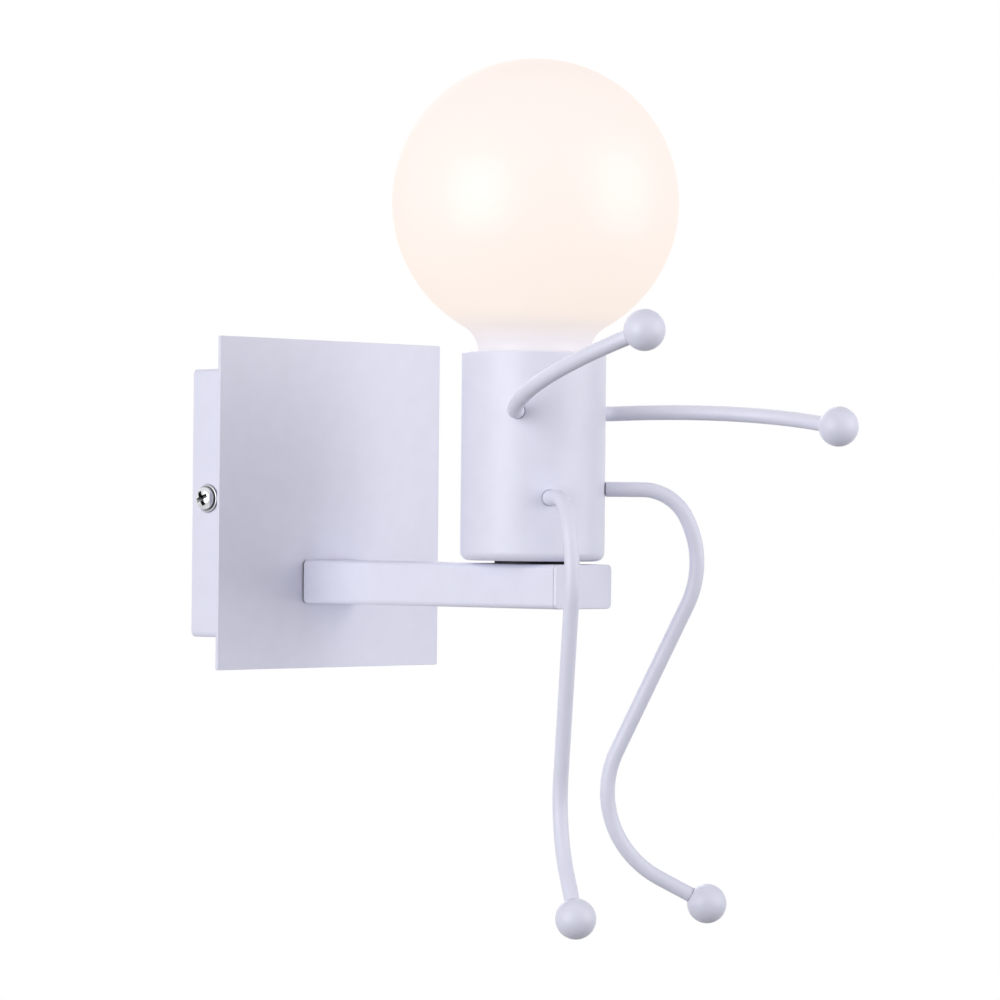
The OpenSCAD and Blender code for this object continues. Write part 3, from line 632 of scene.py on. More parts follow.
def turned(outline, sides, place, bm=None):
    """Bmesh with a closed half section (radius, height) turned about the z axis of a frame."""
    if bm is None:
        bm = bmesh.new()
    rows = []
    for r, z in outline:
        points = [Vector((0.0, 0.0, z))] if r < 1e-6 else hoops([(r, z)], sides)[0]
        rows.append([bm.verts.new(place @ p) for p in points])
    for low, high in zip(rows, rows[1:] + rows[:1]):
        for k in range(sides):
            n = (k + 1) % sides
            if len(low) > 1 and len(high) > 1:
                bm.faces.new((low[k], low[n], high[n], high[k]))
            elif len(low) > 1:
                bm.faces.new((low[k], low[n], high[0]))
            elif len(high) > 1:
                bm.faces.new((low[0], high[n], high[k]))
    return bm


def tube(path, radii, sides, place=None):
    """Bmesh of a round bar along a path, with one radius for each of its points."""
    along = [(b - a).normalized() for a, b in zip(path, path[1:])]
    tangents = [along[0]] + [(a + b).normalized() for a, b in zip(along, along[1:])] + [along[-1]]
    side = tangents[0].orthogonal().normalized()
    loops = []
    for point, tangent, r in zip(path, tangents, radii):
        side = (side - tangent * side.dot(tangent)).normalized()
        up = tangent.cross(side)
        loops.append([point + (side * math.cos(a) + up * math.sin(a)) * r for a in turns(sides)])
    return loft(loops, place=place)


def eased(points, r, steps=8):
    """Path through points with a bend of one radius at each inner one."""
    points = [Vector(p) for p in points]
    path = [points[0]]
    for before, here, after in zip(points, points[1:], points[2:]):
        back, on = (before - here).normalized(), (after - here).normalized()
        half = back.angle(on) / 2
        reach = r / math.tan(half)
        centre = here + (back + on).normalized() * (r / math.sin(half))
        start, end = here + back * reach - centre, here + on * reach - centre
        axis = start.cross(end).normalized()
        sweep = start.angle(end)
        for k in range(steps + 1):
            path.append(centre + Matrix.Rotation(sweep * k / steps, 3, axis) @ start)
    path.append(points[-1])
    return path


def to_mesh(bm, name):
    """Closes a bmesh built in millimetres into a mesh in metres with clean normals."""
    bmesh.ops.remove_doubles(bm, verts=bm.verts, dist=1e-5)
    bmesh.ops.recalc_face_normals(bm, faces=bm.faces)
    bmesh.ops.scale(bm, vec=(MM, MM, MM), verts=bm.verts)
    mesh = bpy.data.meshes.new(name)
    bm.to_mesh(mesh)
    bm.free()
    return mesh


def link(name, data):
    """Object in the scene that shows a mesh, a lamp or a camera."""
    piece = bpy.data.objects.new(name, data)
    bpy.context.scene.collection.objects.link(piece)
    return piece


def evaluated(piece):
    """New mesh of an object with its modifiers applied."""
    bpy.context.view_layer.update()
    shown = piece.evaluated_get(bpy.context.evaluated_depsgraph_get())
    return bpy.data.meshes.new_from_object(shown)


def discard(*pieces):
    """Removes objects and their meshes."""
    for piece in pieces:
        data = piece.data
        bpy.data.objects.remove(piece)
        bpy.data.meshes.remove(data)


def cut_out(mesh, cutters):
    """Mesh less the cutters, which are bmeshes in millimetres."""
    body = link("cut_body", mesh)
    tools = []
    for number, bm in enumerate(cutters):
        tool = link(f"cut_tool_{number}", to_mesh(bm, f"cut_tool_{number}"))
        modifier = body.modifiers.new(f"cut_{number}", "BOOLEAN")
        modifier.operation = "DIFFERENCE"
        modifier.solver = "EXACT"
        modifier.object = tool
        tools.append(tool)
    result = evaluated(body)
    discard(body, *tools)
    return result


def smoothed(mesh, sharp):
    """Mesh shaded smooth up to an angle in degrees, with flat shading kept on its large faces."""
    mesh.shade_smooth()
    mesh.set_sharp_from_angle(angle=math.radians(sharp))
    piece = link("smoothed_piece", mesh)
    weigh = piece.modifiers.new("weigh", "WEIGHTED_NORMAL")
    weigh.keep_sharp = True
    result = evaluated(piece)
    discard(piece)
    return result


def show(name, bm, slot, node, sharp, cutters=()):
    """Puts a bmesh, less its cutters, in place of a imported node, on that node's body."""
    mesh = to_mesh(bm, name)
    if cutters:
        mesh = cut_out(mesh, cutters)
    mesh = smoothed(mesh, sharp)
    mesh.name = name
    mesh.materials.clear()
    mesh.materials.append(finish(slot))
    piece = link(name, mesh)
    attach(piece, frame["nodes"][node]["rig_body"])
    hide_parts(node)
    return piece


def dress(*nodes):
    """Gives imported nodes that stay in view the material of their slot."""
    slots = {row["node"]: row["material_slot"] for row in frame["record"]["subparts"]}
    for node in nodes:
        mesh = frame["nodes"][node].data
        mesh.materials.clear()
        mesh.materials.append(finish(slots[node]))


def bar_cutter(r, start, end, sides=32):
    """Round cutter between two points."""
    return tube([Vector(start), Vector(end)], [r, r], sides)


def turn_to(direction, origin):
    """Frame at a point whose z axis runs along a direction."""
    return Matrix.Translation(origin) @ Vector(direction).to_track_quat("Z", "Y").to_matrix().to_4x4()


def on_cup_axis(z=0.0):
    """Frame on the upright axis of cup, holder and bulb."""
    return Matrix.Translation((0, CUP_Y, z))


# Fasteners


def pan_section(d, head, head_h, length):
    """Half section of a pan-head screw, its head on z = 0 and its thread below."""
    crown = head_h / 2
    tip = 0.4
    return rounded(
        [
            (0.0, head_h, 0.0),
            (head * 0.22, head_h * 0.985, 0.0),
            (head * 0.40, head_h * 0.80, head * 0.16),
            (head / 2, crown * 0.9, head * 0.08),
            (head / 2, 0.0, 0.12),
            (d / 2, 0.0, 0.0),
            (d / 2, -length + tip, 0.0),
            (d / 2 - tip, -length, 0.0),
            (0.0, -length, 0.0),
        ],
        4,
    )


def cross_cutters(head, head_h, place):
    """Two tapered blades that cut a cross recess into a screw's head."""
    top, low = head * 0.36, head * 0.155
    wide, thin = head * 0.10, head * 0.07
    loops = [
        at_height(rectangle(low, thin, 0.08), head_h * 0.30),
        at_height(rectangle(top, wide, 0.08), head_h * 0.95),
        at_height(rectangle(top * 1.05, wide, 0.08), head_h * 1.6),
    ]
    return [loft(loops, place=place @ Matrix.Rotation(a, 4, "Z")) for a in (0.0, math.pi / 2)]


def slot_cutter(head, head_h, depth, place):
    """Blade that cuts a straight slot across a screw's head."""
    outline = rectangle(head * 0.8, head * 0.09, 0.02)
    return loft([at_height(outline, head_h - depth), at_height(outline, head_h * 1.5)], place=place)


def screws(name, slot, node, places, size, lengths, recess, sides=40):
    """Pan-head screws at some places, with a cross or a slot in each head."""
    d, head, head_h = size
    bm = bmesh.new()
    cutters = []
    for place, length in zip(places, lengths):
        turned(pan_section(d, head, head_h, length), sides, place, bm)
        if recess == "cross":
            cutters += cross_cutters(head, head_h, place)
        else:
            cutters.append(slot_cutter(head, head_h, head_h * 0.45, place))
    show(name, bm, slot, node, SHARP_HEX, cutters)


def washers(name, slot, node, places, r, bore_r, t):
    """Stamped washers with one rounded rim."""
    section = rounded([(bore_r, 0, 0.05), (r, 0, 0.08), (r, t, 0.3), (bore_r, t, 0.15)], 4)
    bm = bmesh.new()
    for place in places:
        turned(section, 48, place, bm)
    show(name, bm, slot, node, SHARP_ROUND)


def nut_loops(across_flats, h, sides):
    """Loops of a hexagon whose corners are chamfered at both faces."""
    loops = []
    flat = across_flats / 2
    face_r = flat * 0.96
    slope = math.tan(math.radians(30))
    chamfer = (flat / math.cos(math.pi / 6) - face_r) * slope
    heights = [k * chamfer / 5 for k in range(6)] + [h - k * chamfer / 5 for k in range(5, -1, -1)]
    for z in heights:
        reach = face_r + min(z, h - z) / slope
        loop = []
        for a in turns(sides):
            wedge = (a + math.pi / 6) % (math.pi / 3) - math.pi / 6
            r = min(flat / math.cos(wedge), reach)
            loop.append(polar(r, a, z))
        loops.append(loop)
    return loops


def nuts(name, node, places, across_flats, bore_r, h):
    """Hexagon nuts with chamfered bores, each standing on z = 0 of its frame."""
    sides = 72
    mouth_r = bore_r + CHAMFER
    bore = [(mouth_r, h), (bore_r, h - CHAMFER), (bore_r, CHAMFER), (mouth_r, 0.0)]
    loops = nut_loops(across_flats, h, sides) + hoops(bore, sides)
    bm = bmesh.new()
    for place in places:
        loft(loops, ring=True, place=place, bm=bm)
    show(name, bm, "zinc_steel", node, SHARP_HEX)


def thread_loops(mean, depth, low, high, pitch, sides):
    """Loops of a knuckle thread that fades out at both ends."""
    loops = []
    rows = int((high - low) / pitch * 12)
    for k in range(rows + 1):
        z = low + (high - low) * k / rows
        fade = min(1.0, (z - low) / (pitch * 0.6), (high - z) / (pitch * 0.6))
        loop = []
        for a in turns(sides):
            r = mean + depth / 2 * math.cos(2 * math.pi * z / pitch - a) * fade
            loop.append(polar(r, a, z))
        loops.append(loop)
    return loops


class SCONCE_OT_canopy(bpy.types.Operator):
    """Builds the painted canopy box, its face plate and its side screws"""

    bl_idname = "sconce.canopy"
    bl_label = "Canopy"

    def execute(self, context):
        edge = context.scene.sconce_coat.edge / MM
        self.build_box(edge)
        self.build_plate(edge)
        self.build_side_screws()
        return {"FINISHED"}

    def arm_cutters(self, y_from, y_to):
        """Cutters for the two arm screws and the wires."""
        holes = [(-ARM_SCREW_X, SCREW_HOLE_R), (ARM_SCREW_X, SCREW_HOLE_R), (0.0, WIRE_HOLE_R)]
        return [bar_cutter(r, (x, y_from, ARM_Z), (x, y_to, ARM_Z)) for x, r in holes]

    def build_box(self, edge):
        """Box of folded sheet, open to the wall, with holes for screws and wires."""
        half = BOX_HIGH.x
        mid = (BOX_LOW.z + BOX_HIGH.z) / 2
        front, back = BOX_LOW.y, BOX_HIGH.y
        floor = front + SHEET
        inside = [
            (INNER_FOLD_R, floor),
            (INNER_FOLD_MID, floor + INNER_FOLD_MID),
            (0.0, floor + INNER_FOLD_R),
            (0.0, back - edge),
            (-edge * EDGE_MID, back - edge * EDGE_MID),
            (-edge, back),
        ]
        outside = edge_profile(edge, back, -1)
        outside += [(0.0, front + FOLD_R), (FOLD_MID, front + FOLD_MID), (FOLD_R, front)]
        loops = framed(half - SHEET, half - SHEET, BOX_CORNER - SHEET, mid, CORNER_STEPS, inside)
        loops += framed(half, half, BOX_CORNER, mid, CORNER_STEPS, outside)
        cutters = self.arm_cutters(front - 1, front + 3)
        for side in (-1, 1):
            start = (side * (half - 3), -SIDE_SCREW_OUT, 0)
            end = (side * (half + 1), -SIDE_SCREW_OUT, 0)
            cutters.append(bar_cutter(SCREW_HOLE_R, start, end))
        show("canopy_tray", loft(loops), "white_paint", "canopy_box", SHARP_SHEET, cutters)

    def build_plate(self, edge):
        """Square sheet in front of the box."""
        low, high = corners("face_plate")
        profile = edge_profile(edge, high.y, -1) + edge_profile(edge, low.y, 1)[::-1]
        bm = loft(framed(high.x, high.x, PLATE_CORNER, (low.z + high.z) / 2, 4, profile))
        cutters = self.arm_cutters(low.y - 1, high.y + 1)
        show("front_plate", bm, "white_paint", "face_plate", SHARP_SHEET, cutters)

    def build_side_screws(self):
        """Chromed screw and washer on each side of the box."""
        on_box = [turn_to((s, 0, 0), (s * BOX_HIGH.x, -SIDE_SCREW_OUT, 0)) for s in (-1, 1)]
        spin = Matrix.Rotation(math.radians(SIDE_SCREW_SPIN), 4, "Z")
        on_washer = [place @ Matrix.Translation((0, 0, WASHER_T)) @ spin for place in on_box]
        washers(
            "canopy_washers", "chromed_screw", "side_washers", on_box, SIDE_WASHER_R,
            SCREW_HOLE_R, WASHER_T,
        )
        screws(
            "canopy_screws", "chromed_screw", "side_screws", on_washer, PAN_SCREW,
            [SCREW_LEN, SCREW_LEN], "cross", 56,
        )


class SCONCE_OT_wall_fixings(bpy.types.Operator):
    """Dresses the wall bracket and terminal block, and builds the screws and wires behind the canopy"""

    bl_idname = "sconce.wall_fixings"
    bl_label = "Wall fixings"

    def execute(self, context):
        dress("wall_bracket", "terminal_block", "terminal_tubes", "wire_bush", "arm_root_block")
        self.build_screws()
        self.build_clamp_screws()
        self.build_wires()
        return {"FINISHED"}

    def build_screws(self):
        """Screws and washers of the arm, the earth screw and the terminal block's fixing screw."""
        sides = (-ARM_SCREW_X, ARM_SCREW_X)
        washer_low, washer_high = corners("arm_screw_washers")
        seats = (washer_high.y, corners("arm_screws")[1].y - HEAD_H)
        places = [turn_to((0, 1, 0), (x, y, ARM_Z)) for x, y in zip(sides, seats)]
        screws(
            "root_screws", "zinc_steel", "arm_screws", places, PAN_SCREW,
            [SCREW_LEN, SCREW_LEN], "cross",
        )
        flats = [turn_to((0, 1, 0), (x, washer_low.y, ARM_Z)) for x in sides]
        washers(
            "root_washers", "zinc_steel", "arm_screw_washers", flats, washer_high.x - ARM_SCREW_X,
            SCREW_HOLE_R, WASHER_T,
        )
        for name, node, slot, size in (
            ("earth_terminal_screw", "earth_screw", "brass", PAN_SCREW),
            ("terminal_fixing_screw", "block_screw", "zinc_steel", SMALL_PAN_SCREW),
        ):
            low, high = corners(node)
            middle = (low + high) / 2
            head_h = size[2]
            place = turn_to((0, -1, 0), (middle.x, low.y + head_h, middle.z))
            screws(name, slot, node, [place], size, [high.y - low.y - head_h], "slot")

    def build_clamp_screws(self):
        """Four headless screws that clamp the wires in the terminal block."""
        low, high = corners("clamp_screws")
        r = SMALL_SCREW_D / 2
        length = high.y - low.y
        slot_depth = 0.9
        section = rounded(
            [(0, 0, 0), (r - CHAMFER, 0, 0), (r, CHAMFER, 0), (r, length, 0.2), (0, length, 0)], 3
        )
        bm = bmesh.new()
        cutters = []
        for x in (low.x + r, high.x - r):
            for z in (low.z + r, high.z - r):
                place = turn_to((0, -1, 0), (x, high.y, z))
                turned(section, 32, place, bm)
                cutters.append(slot_cutter(2 * r, length, slot_depth, place))
        show("clamp_grub_screws", bm, "zinc_steel", "clamp_screws", SHARP_HEX, cutters)

    def build_wires(self):
        """Live and neutral wire, from the terminal block through the arm to the holder."""
        step_down = corners("terminal_block")[0].z - 4 * WIRE_R
        step_up = corners("nipple")[1].z + 2 * WIRE_R
        end = corners("holder_base")[1].z + TERMINAL_DEPTH
        for name, node, slot, side in (
            ("brown_wire", "live_wire", "live_insulation", 1),
            ("blue_wire", "neutral_wire", "neutral_insulation", -1),
        ):
            start = corners(node)[1]
            pole_y = start.y - WIRE_R
            pole_x, arm_x, holder_x = POLE_X * side, WIRE_X * side, TERMINAL_X * side
            points = [
                (pole_x, pole_y, start.z),
                (pole_x, pole_y, step_down),
                (arm_x, pole_y, step_down - POLE_X + WIRE_X),
                (arm_x, pole_y, ARM_Z),
                (arm_x, CUP_Y, ARM_Z),
                (arm_x, CUP_Y, step_up),
                (holder_x, CUP_Y, step_up + TERMINAL_X - WIRE_X),
                (holder_x, CUP_Y, end),
            ]
            path = eased(points, WIRE_BEND_R)
            show(name, tube(path, [WIRE_R] * len(path), 20), slot, node, SHARP_ROUND)
        dress("earth_wire")


class SCONCE_OT_arm(bpy.types.Operator):
    """Builds the arm's tube, its end plate and the black rubber washer under the cup; its black is painted
    shade for the gap between cup and arm
    """

    bl_idname = "sconce.arm"
    bl_label = "Arm"

    def execute(self, context):
        edge = context.scene.sconce_coat.edge / MM
        half_w, half_h = ARM_HIGH.x, (ARM_HIGH.z - ARM_LOW.z) / 2
        skin = (half_w, half_h, ARM_CORNER, ARM_Z, CORNER_STEPS)
        bore = (half_w - ARM_WALL, half_h - ARM_WALL, ARM_CORNER - ARM_WALL, ARM_Z, CORNER_STEPS)
        self.build_tube(skin, bore)
        self.build_end_plate(skin, edge)
        low, high = corners("spacer_washer")
        # Painted shade: the spacer under the cup is black to stand for the shade in the thin gap between
        # cup and arm
        washers(
            "cup_gasket", "black_rubber", "spacer_washer",
            [on_cup_axis(low.z)], high.x, NIPPLE_HOLE_R, high.z - low.z,
        )
        return {"FINISHED"}

    def build_tube(self, skin, bore):
        """Tube with a seam at its root, dark from its shade and from painted shade, a fine groove at its
        tip and the nipple's hole.
        """
        root, tip = ARM_HIGH.y, ARM_LOW.y
        seam_end = root - SEAM_W
        outside = [
            (SEAM_DEPTH, root),
            (SEAM_DEPTH, seam_end),
            (GROOVE, seam_end),
            (0.0, seam_end - GROOVE),
            (0.0, tip + GROOVE),
            (GROOVE, tip),
        ]
        loops = framed(*bore, [(0.0, root)]) + framed(*skin, outside) + framed(*bore, [(0.0, tip)])
        hole = bar_cutter(NIPPLE_HOLE_R, (0, CUP_Y, ARM_Z), (0, CUP_Y, ARM_HIGH.z + 2), 48)
        show("arm_bar", loft(loops, ring=True), "white_paint", "arm_tube", SHARP_SHEET, [hole])

    def build_end_plate(self, skin, edge):
        """Plate that closes the arm's tip."""
        low, high = corners("arm_end_cap")
        profile = [(GROOVE, high.y), (0.0, high.y - GROOVE)] + edge_profile(edge * 2, low.y, 1)[::-1]
        bm = loft(framed(*skin, profile))
        show("arm_end_plate", bm, "white_paint", "arm_end_cap", SHARP_SHEET)


class SCONCE_OT_cup(bpy.types.Operator):
    """Builds the lamp cup with its limb holes, and the nipple and nuts that hold it"""

    bl_idname = "sconce.cup"
    bl_label = "Lamp cup"

    def execute(self, context):
        self.build_cup(2 * context.scene.sconce_rods.turned_sides)
        self.build_nipple()
        return {"FINISHED"}

    def build_cup(self, sides):
        """Spun cup with a rounded lip and a hole for each limb."""
        r = CUP_HIGH.x
        low, high = CUP_LOW.z, CUP_HIGH.z
        lip = SHEET * 0.45
        inner_end, outer_end = r - 6, r + 2
        section = rounded(
            [
                (NIPPLE_HOLE_R, low, 0.1),
                (r, low, CUP_CORNER),
                (r, high, lip),
                (r - SHEET, high, lip),
                (r - SHEET, low + SHEET, CUP_CORNER - SHEET),
                (NIPPLE_HOLE_R, low + SHEET, 0.1),
            ],
            8,
        )
        cutters = []
        for _, azimuth, z, _, _, _ in LIMBS.values():
            angle = math.radians(azimuth)
            out = Vector((math.sin(angle), -math.cos(angle), 0))
            axis = Vector((0, CUP_Y, z))
            cutters.append(bar_cutter(LIMB_HOLE_R, axis + out * inner_end, axis + out * outer_end))
        bm = turned(section, sides, on_cup_axis())
        show("figure_cup", bm, "white_paint", "lamp_cup", SHARP_SHEET, cutters)

    def build_nipple(self):
        """Hollow threaded rod that holds arm, cup and holder together, and its two nuts."""
        low, high = corners("nipple")
        sides, pitch, depth, end = 48, 1.0, 0.35, 0.3
        loops = thread_loops(NIPPLE_R - 0.2, depth, low.z + end, high.z - end, pitch, sides)
        loops += hoops([(NIPPLE_BORE_R, high.z), (NIPPLE_BORE_R, low.z)], sides)
        bm = loft(loops, ring=True, place=on_cup_axis())
        show("threaded_nipple", bm, "zinc_steel", "nipple", SHARP_TURNED)
        low, high = corners("nipple_nuts")
        places = [on_cup_axis(low.z), on_cup_axis(high.z - NIPPLE_NUT_H)]
        nuts("nipple_lock_nuts", "nipple_nuts", places, NIPPLE_NUT_FLATS, NIPPLE_HOLE_R, NIPPLE_NUT_H)


class SCONCE_OT_holder(bpy.types.Operator):
    """Dresses the lamp holder and builds its threaded shell"""

    bl_idname = "sconce.holder"
    bl_label = "Lamp holder"

    def execute(self, context):
        dress("holder_base", "holder_body", "centre_contact", "holder_screws")
        low, high = corners("screw_shell")
        r = high.x - 0.4
        wall = 0.28
        sides = context.scene.sconce_rods.turned_sides
        inside = thread_loops(r + 0.24, 0.46, low.z, high.z - 1.0, CAP_PITCH, sides)
        rim = hoops([(r + 0.30, high.z - 0.15), (r + 0.36, high.z), (r + 0.52, high.z)], sides)
        outside = [grown(loop, wall) for loop in reversed(inside)]
        bm = loft(inside + rim + outside, ring=True, place=on_cup_axis())
        show("threaded_shell", bm, "brass", "screw_shell", SHARP_TURNED)
        return {"FINISHED"}


class SCONCE_OT_bulb(bpy.types.Operator):
    """Builds the opal globe and its screw cap, and dresses the pieces inside"""

    bl_idname = "sconce.bulb"
    bl_label = "Globe bulb"

    def execute(self, context):
        sides = context.scene.sconce_rods.turned_sides
        dress("bulb_insulator", "bulb_contact", "bulb_stem", "bulb_supports", "bulb_filaments")
        bm = turned(self.globe_section(), sides + 32, on_cup_axis())
        globe = show("opal_globe", bm, "opal_glass", "bulb_globe", SHARP_TURNED)
        globe.visible_shadow = False
        self.build_cap(sides)
        return {"FINISHED"}

    def build_cap(self, sides):
        """Screw cap with a rolled rim round the neck of the glass."""
        box_low, box_high = corners("bulb_cap")
        low, high, rim_r = box_low.z, box_high.z, box_high.x
        r = CAP_R
        rim = [
            (r - 0.1, high - 3.6),
            (r, high - 2.6),
            (r, high - 1.4),
            (rim_r, high - 1.0),
            (rim_r, high - 0.2),
            (rim_r - 0.2, high),
        ]
        inside = [
            (r - 0.5, high),
            (r - 1.3, high - 3.0),
            (r - 1.4, low + 1.0),
            (10.6, low + 0.4),
            (4.7, low + 0.4),
            (4.7, low),
        ]
        loops = hoops([(11.0, low), (11.9, low + 0.5)], sides)
        loops += thread_loops(r - 0.45, 0.86, low + 1.6, high - 5.0, CAP_PITCH, sides)
        loops += hoops(rim + inside, sides)
        bm = loft(loops, ring=True, place=on_cup_axis())
        show("bulb_screw_cap", bm, "nickel_cap", "bulb_cap", SHARP_ROUND)

    def globe_section(self):
        """Half section of the glass: globe, blend and tapered neck, outside and inside."""
        r = GLOBE_HIGH.x
        mid = GLOBE_HIGH.z - r
        blend_x = NECK_R + NECK_BLEND_R
        blend_z = mid - math.sqrt((r + NECK_BLEND_R) ** 2 - blend_x ** 2)
        join_angle = math.atan2(blend_z - mid, blend_x)
        back_angle = math.atan2(mid - blend_z, -blend_x)
        globe_steps, blend_steps = 72, 16

        def wall(depth):
            """One face of the glass, from the top down, at a depth under its outside."""
            globe_r, blend_r = r - depth, NECK_BLEND_R + depth
            face = [(0.0, mid + globe_r)]
            for k in range(1, globe_steps + 1):
                a = math.pi / 2 + (join_angle - math.pi / 2) * k / globe_steps
                face.append((globe_r * math.cos(a), mid + globe_r * math.sin(a)))
            for k in range(1, blend_steps + 1):
                a = back_angle + (math.pi - back_angle) * k / blend_steps
                face.append((blend_x + blend_r * math.cos(a), blend_z + blend_r * math.sin(a)))
            face.append((NECK_LOW_R - depth, GLOBE_LOW.z))
            return face

        return wall(0.0) + wall(GLASS_T)[::-1]


class SCONCE_OT_limbs(bpy.types.Operator):
    """Builds the bent rod arms and legs with their ball ends and nuts, and dresses their washers"""

    bl_idname = "sconce.limbs"
    bl_label = "Arms and legs"

    def execute(self, context):
        rods = context.scene.sconce_rods
        dress("limb_washers")
        for name, (end, azimuth, z, swing, bends, tail) in LIMBS.items():
            place = (
                on_cup_axis(z)
                @ Matrix.Rotation(math.radians(azimuth), 4, "Z")
                @ Matrix.Rotation(math.radians(90), 4, "X")
                @ Matrix.Rotation(math.radians(swing - 90), 4, "Z")
            )
            path, last = self.bent_path(bends, tail, rods.arc_step)
            self.build_rod(name, path, place, rods.sides)
            self.build_ball(end, place @ last, rods.turned_sides)
            seat = place @ Matrix.Translation((0, 0, NUT_LOW_R))
            nuts(name + "_lock_nut", name + "_nut", [seat], LIMB_NUT_FLATS, LIMB_HOLE_R, LIMB_NUT_H)
        return {"FINISHED"}

    def bent_path(self, bends, tail, arc_step):
        """Centre line from the shoulder to the rod's end, and the frame of the ball's centre."""
        turtle = Matrix.Translation((0, 0, SHOULDER_R))
        path = []
        for run, r, angle, twist in bends:
            turtle = turtle @ Matrix.Translation((0, 0, run)) @ Matrix.Rotation(math.radians(twist), 4, "Z")
            sweep = math.radians(angle)
            steps = max(4, math.ceil(sweep / arc_step))
            for k in range(0 if run else 1, steps + 1):
                a = sweep * k / steps
                path.append(turtle @ Vector((r * (1 - math.cos(a)), 0, r * math.sin(a))))
            turtle = turtle @ Matrix.Translation((r * (1 - math.cos(sweep)), 0, r * math.sin(sweep)))
            turtle = turtle @ Matrix.Rotation(sweep, 4, "Y")
        end = turtle @ Matrix.Translation((0, 0, tail))
        path.append(end @ Vector((0, 0, -ROD_SHORT_OF_BALL)))
        return path, end

    def build_rod(self, name, path, place, sides):
        """Root, shoulder with a worn round edge, and the bent length."""
        r, root_r = ROD_D / 2, SCREW_D / 2
        start = [
            (ROOT_END_R, root_r - CHAMFER),
            (ROOT_END_R + CHAMFER, root_r),
            (SHOULDER_R, root_r),
            (SHOULDER_R + 0.001, r - 0.3),
            (SHOULDER_R + 0.09, r - 0.09),
            (SHOULDER_R + 0.3, r),
        ]
        points = [Vector((0, 0, z)) for z, _ in start] + path
        radii = [own for _, own in start] + [r] * len(path)
        show(name + "_bar", tube(points, radii, sides, place), "white_paint", name + "_rod", SHARP_ROUND)

    def build_ball(self, node, place, sides):
        """Ball with a blind hole whose mouth is filled by a small bead of paint."""
        r, hole_r = BALL_D / 2, ROD_D / 2 + FIT_GAP
        mouth = math.asin((hole_r + 0.35) / r)
        steps = 40
        section = [(0.0, r)]
        for k in range(1, steps + 1):
            a = math.pi / 2 - (math.pi - mouth) * k / steps
            section.append((r * math.cos(a), r * math.sin(a)))
        low = -r * math.cos(mouth)
        floor = -ROD_SHORT_OF_BALL + FIT_GAP
        section += [
            (hole_r + 0.22, low - 0.02),
            (hole_r + 0.05, low - 0.10),
            (hole_r, low + 0.05),
            (hole_r, floor),
            (0.0, floor),
        ]
        show(node + "_ball", turned(section, sides // 2, place), "white_paint", node, SHARP_TURNED)


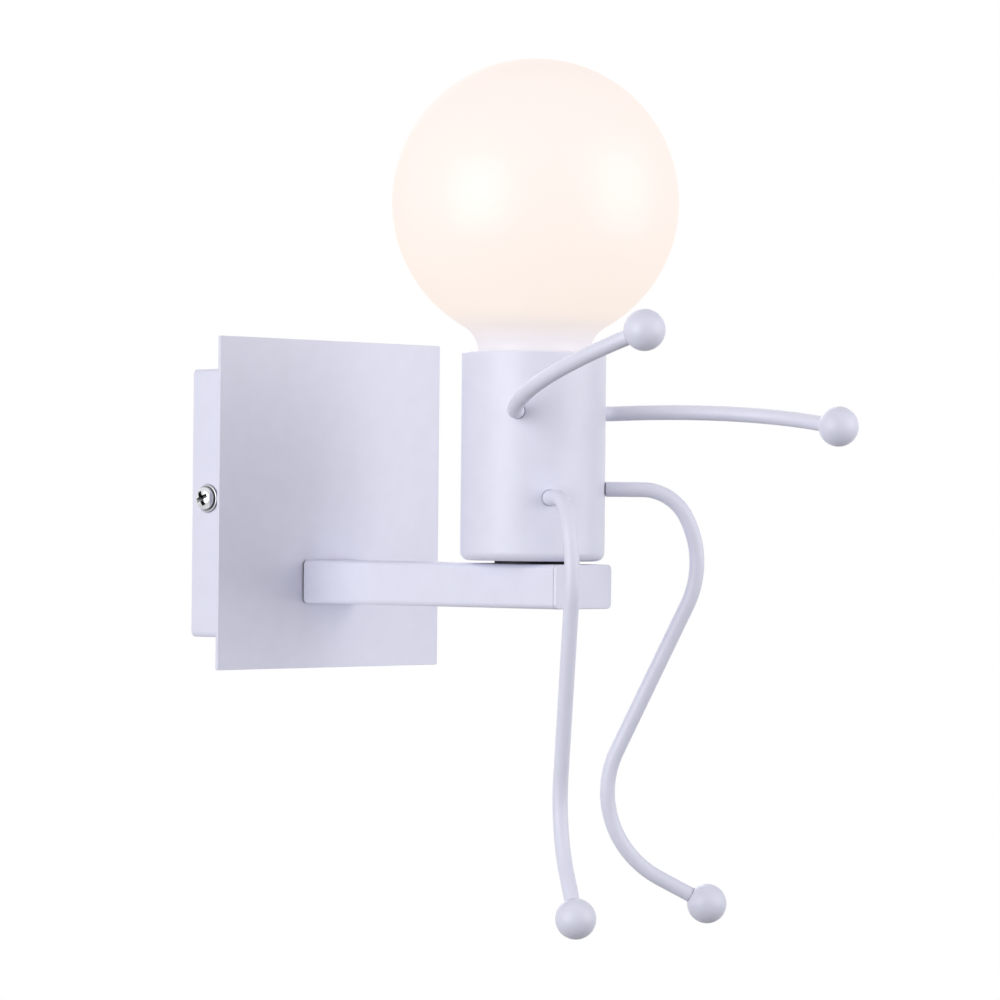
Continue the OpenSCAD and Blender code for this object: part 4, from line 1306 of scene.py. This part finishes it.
class SCONCE_OT_studio(bpy.types.Operator):
    """Sets up the floor, the backdrop, the lamps and the camera"""

    bl_idname = "sconce.studio"
    bl_label = "Studio"

    def execute(self, context):
        settings = context.scene.sconce_studio
        self.build_floor(settings)
        self.build_world(context.scene, settings.sky)
        self.build_lamps(settings)
        self.build_camera(context.scene)
        context.scene.view_settings.view_transform = "Standard"
        return {"FINISHED"}

    def build_floor(self, settings):
        """Round floor well below the sconce."""
        bm = bmesh.new()
        rim = hoops([(settings.floor_reach, settings.floor_drop)], 128)[0]
        bm.faces.new([bm.verts.new(p + Vector((0.0, STAGE_Y, 0.0))) for p in rim])
        mesh = bpy.data.meshes.new("studio_floor")
        bm.to_mesh(mesh)
        bm.free()
        mesh.materials.append(self.floor_finish(settings.floor_reach))
        link("studio_floor", mesh)

    def floor_finish(self, reach):
        """Pale floor that fades into the backdrop at its rim and is clear from below."""
        material, shader = shader_of("studio_floor", Emission_Color=(1.0, 1.0, 1.0))
        tree = material.node_tree
        seen = seen_directly(tree)
        tint(material, shader, seen, (0.35, 0.35, 0.36), (0.92, 0.92, 0.92))
        vary(material, shader, "Roughness", grain(material, 9.0, 2.0), 0.86, 0.94)
        place = tree.nodes.new("ShaderNodeTexCoord")
        distance = add_node(tree, "ShaderNodeVectorMath", "LENGTH")
        near, far = 0.2 * reach, 0.9 * reach
        fade = add_node(
            tree, "ShaderNodeMapRange", From_Min=near, From_Max=far, To_Min=0.35, To_Max=0.75
        )
        glow = add_node(tree, "ShaderNodeMath", "MULTIPLY")
        side = tree.nodes.new("ShaderNodeNewGeometry")
        clear = tree.nodes.new("ShaderNodeBsdfTransparent")
        either = tree.nodes.new("ShaderNodeMixShader")
        join(
            tree,
            (place.outputs["Object"], distance.inputs[0]),
            (distance.outputs["Value"], fade.inputs["Value"]),
            (fade.outputs["Result"], glow.inputs[0]),
            (seen, glow.inputs[1]),
            (glow.outputs["Value"], shader.inputs["Emission Strength"]),
            (side.outputs["Backfacing"], either.inputs["Fac"]),
            (shader.outputs["BSDF"], either.inputs[1]),
            (clear.outputs["BSDF"], either.inputs[2]),
            (either.outputs["Shader"], tree.nodes["Material Output"].inputs["Surface"]),
        )
        material.cycles.emission_sampling = "NONE"
        return material

    def build_world(self, scene, sky):
        """White backdrop that gives a weaker light than it shows."""
        world = bpy.data.worlds.new("studio_backdrop")
        world.use_nodes = True
        tree = world.node_tree
        back = tree.nodes["Background"]
        back.inputs["Color"].default_value = (1.0, 1.0, 1.0, 1.0)
        level = add_node(tree, "ShaderNodeMapRange", To_Min=sky, To_Max=1.0)
        join(
            tree,
            (seen_directly(tree), level.inputs["Value"]),
            (level.outputs["Result"], back.inputs["Strength"]),
        )
        scene.world = world

    def build_lamps(self, settings):
        """Square lamps round the sconce."""
        for name, (power, place, aim, size, spread) in LAMPS.items():
            lamp = bpy.data.lights.new(name, "AREA")
            lamp.energy = getattr(settings, power)
            lamp.shape = "SQUARE"
            lamp.size = size
            lamp.spread = math.radians(spread)
            stand = link(name, lamp)
            stand.location = place
            stand.rotation_euler = (Vector(aim) - Vector(place)).to_track_quat("-Z", "Y").to_euler()

    def build_camera(self, scene):
        """Camera where the photo was taken from."""
        azimuth, elevation = math.radians(CAMERA_AZIMUTH), math.radians(CAMERA_ELEVATION)
        roll = math.radians(CAMERA_ROLL)
        level = math.cos(elevation)
        back = Vector((math.sin(azimuth) * level, -math.cos(azimuth) * level, math.sin(elevation)))
        right = Vector((math.cos(azimuth), math.sin(azimuth), 0.0))
        up = back.cross(right)
        aim = Vector(CAMERA_AIM) + right * CAMERA_RIGHT - up * CAMERA_DOWN
        rolled_right = right * math.cos(roll) + up * math.sin(roll)
        rolled_up = up * math.cos(roll) - right * math.sin(roll)
        turn = Matrix((rolled_right, rolled_up, back)).transposed()
        lens = bpy.data.cameras.new("photo_camera")
        lens.sensor_width = SENSOR_WIDTH
        lens.lens = SENSOR_WIDTH * CAMERA_FOCAL
        lens.clip_start = 0.05
        lens.clip_end = 20.0
        camera = link("photo_camera", lens)
        camera.matrix_world = Matrix.Translation(aim + back * CAMERA_DISTANCE) @ turn.to_4x4()
        scene.camera = camera


SETTINGS = {
    "sconce_coat": CoatSettings,
    "sconce_glow": GlowSettings,
    "sconce_rods": RodSettings,
    "sconce_studio": StudioSettings,
}
PIECE_OPERATORS = (
    SCONCE_OT_canopy,
    SCONCE_OT_wall_fixings,
    SCONCE_OT_arm,
    SCONCE_OT_cup,
    SCONCE_OT_holder,
    SCONCE_OT_bulb,
    SCONCE_OT_limbs,
    SCONCE_OT_studio,
)


class SCONCE_PT_panel(bpy.types.Panel):
    """Lists the sconce's pieces and its settings"""

    bl_idname = "SCONCE_PT_panel"
    bl_label = "Wall sconce"
    bl_space_type = "VIEW_3D"
    bl_region_type = "UI"
    bl_category = "Sconce"

    def draw(self, context):
        layout = self.layout
        for name, group in SETTINGS.items():
            box = layout.box()
            for key in group.__annotations__:
                box.prop(getattr(context.scene, name), key)
        for operator in PIECE_OPERATORS:
            layout.operator(operator.bl_idname)


CLASSES = (*SETTINGS.values(), *PIECE_OPERATORS, SCONCE_PT_panel)


def register():
    """Registers the classes and gives the scene its settings."""
    for cls in CLASSES:
        bpy.utils.register_class(cls)
    for name, group in SETTINGS.items():
        setattr(bpy.types.Scene, name, PointerProperty(type=group))


def unregister():
    """Takes the settings and the classes away again."""
    for name in SETTINGS:
        delattr(bpy.types.Scene, name)
    for cls in reversed(CLASSES):
        bpy.utils.unregister_class(cls)


def main():
    """Builds every piece and the studio."""
    register()
    for old in [o for o in bpy.context.scene.objects if o.type in {"LIGHT", "CAMERA"}]:
        bpy.data.objects.remove(old)
    bpy.ops.sconce.canopy()
    bpy.ops.sconce.wall_fixings()
    bpy.ops.sconce.arm()
    bpy.ops.sconce.cup()
    bpy.ops.sconce.holder()
    bpy.ops.sconce.bulb()
    bpy.ops.sconce.limbs()
    bpy.ops.sconce.studio()


if __name__ == "__main__":
    main()
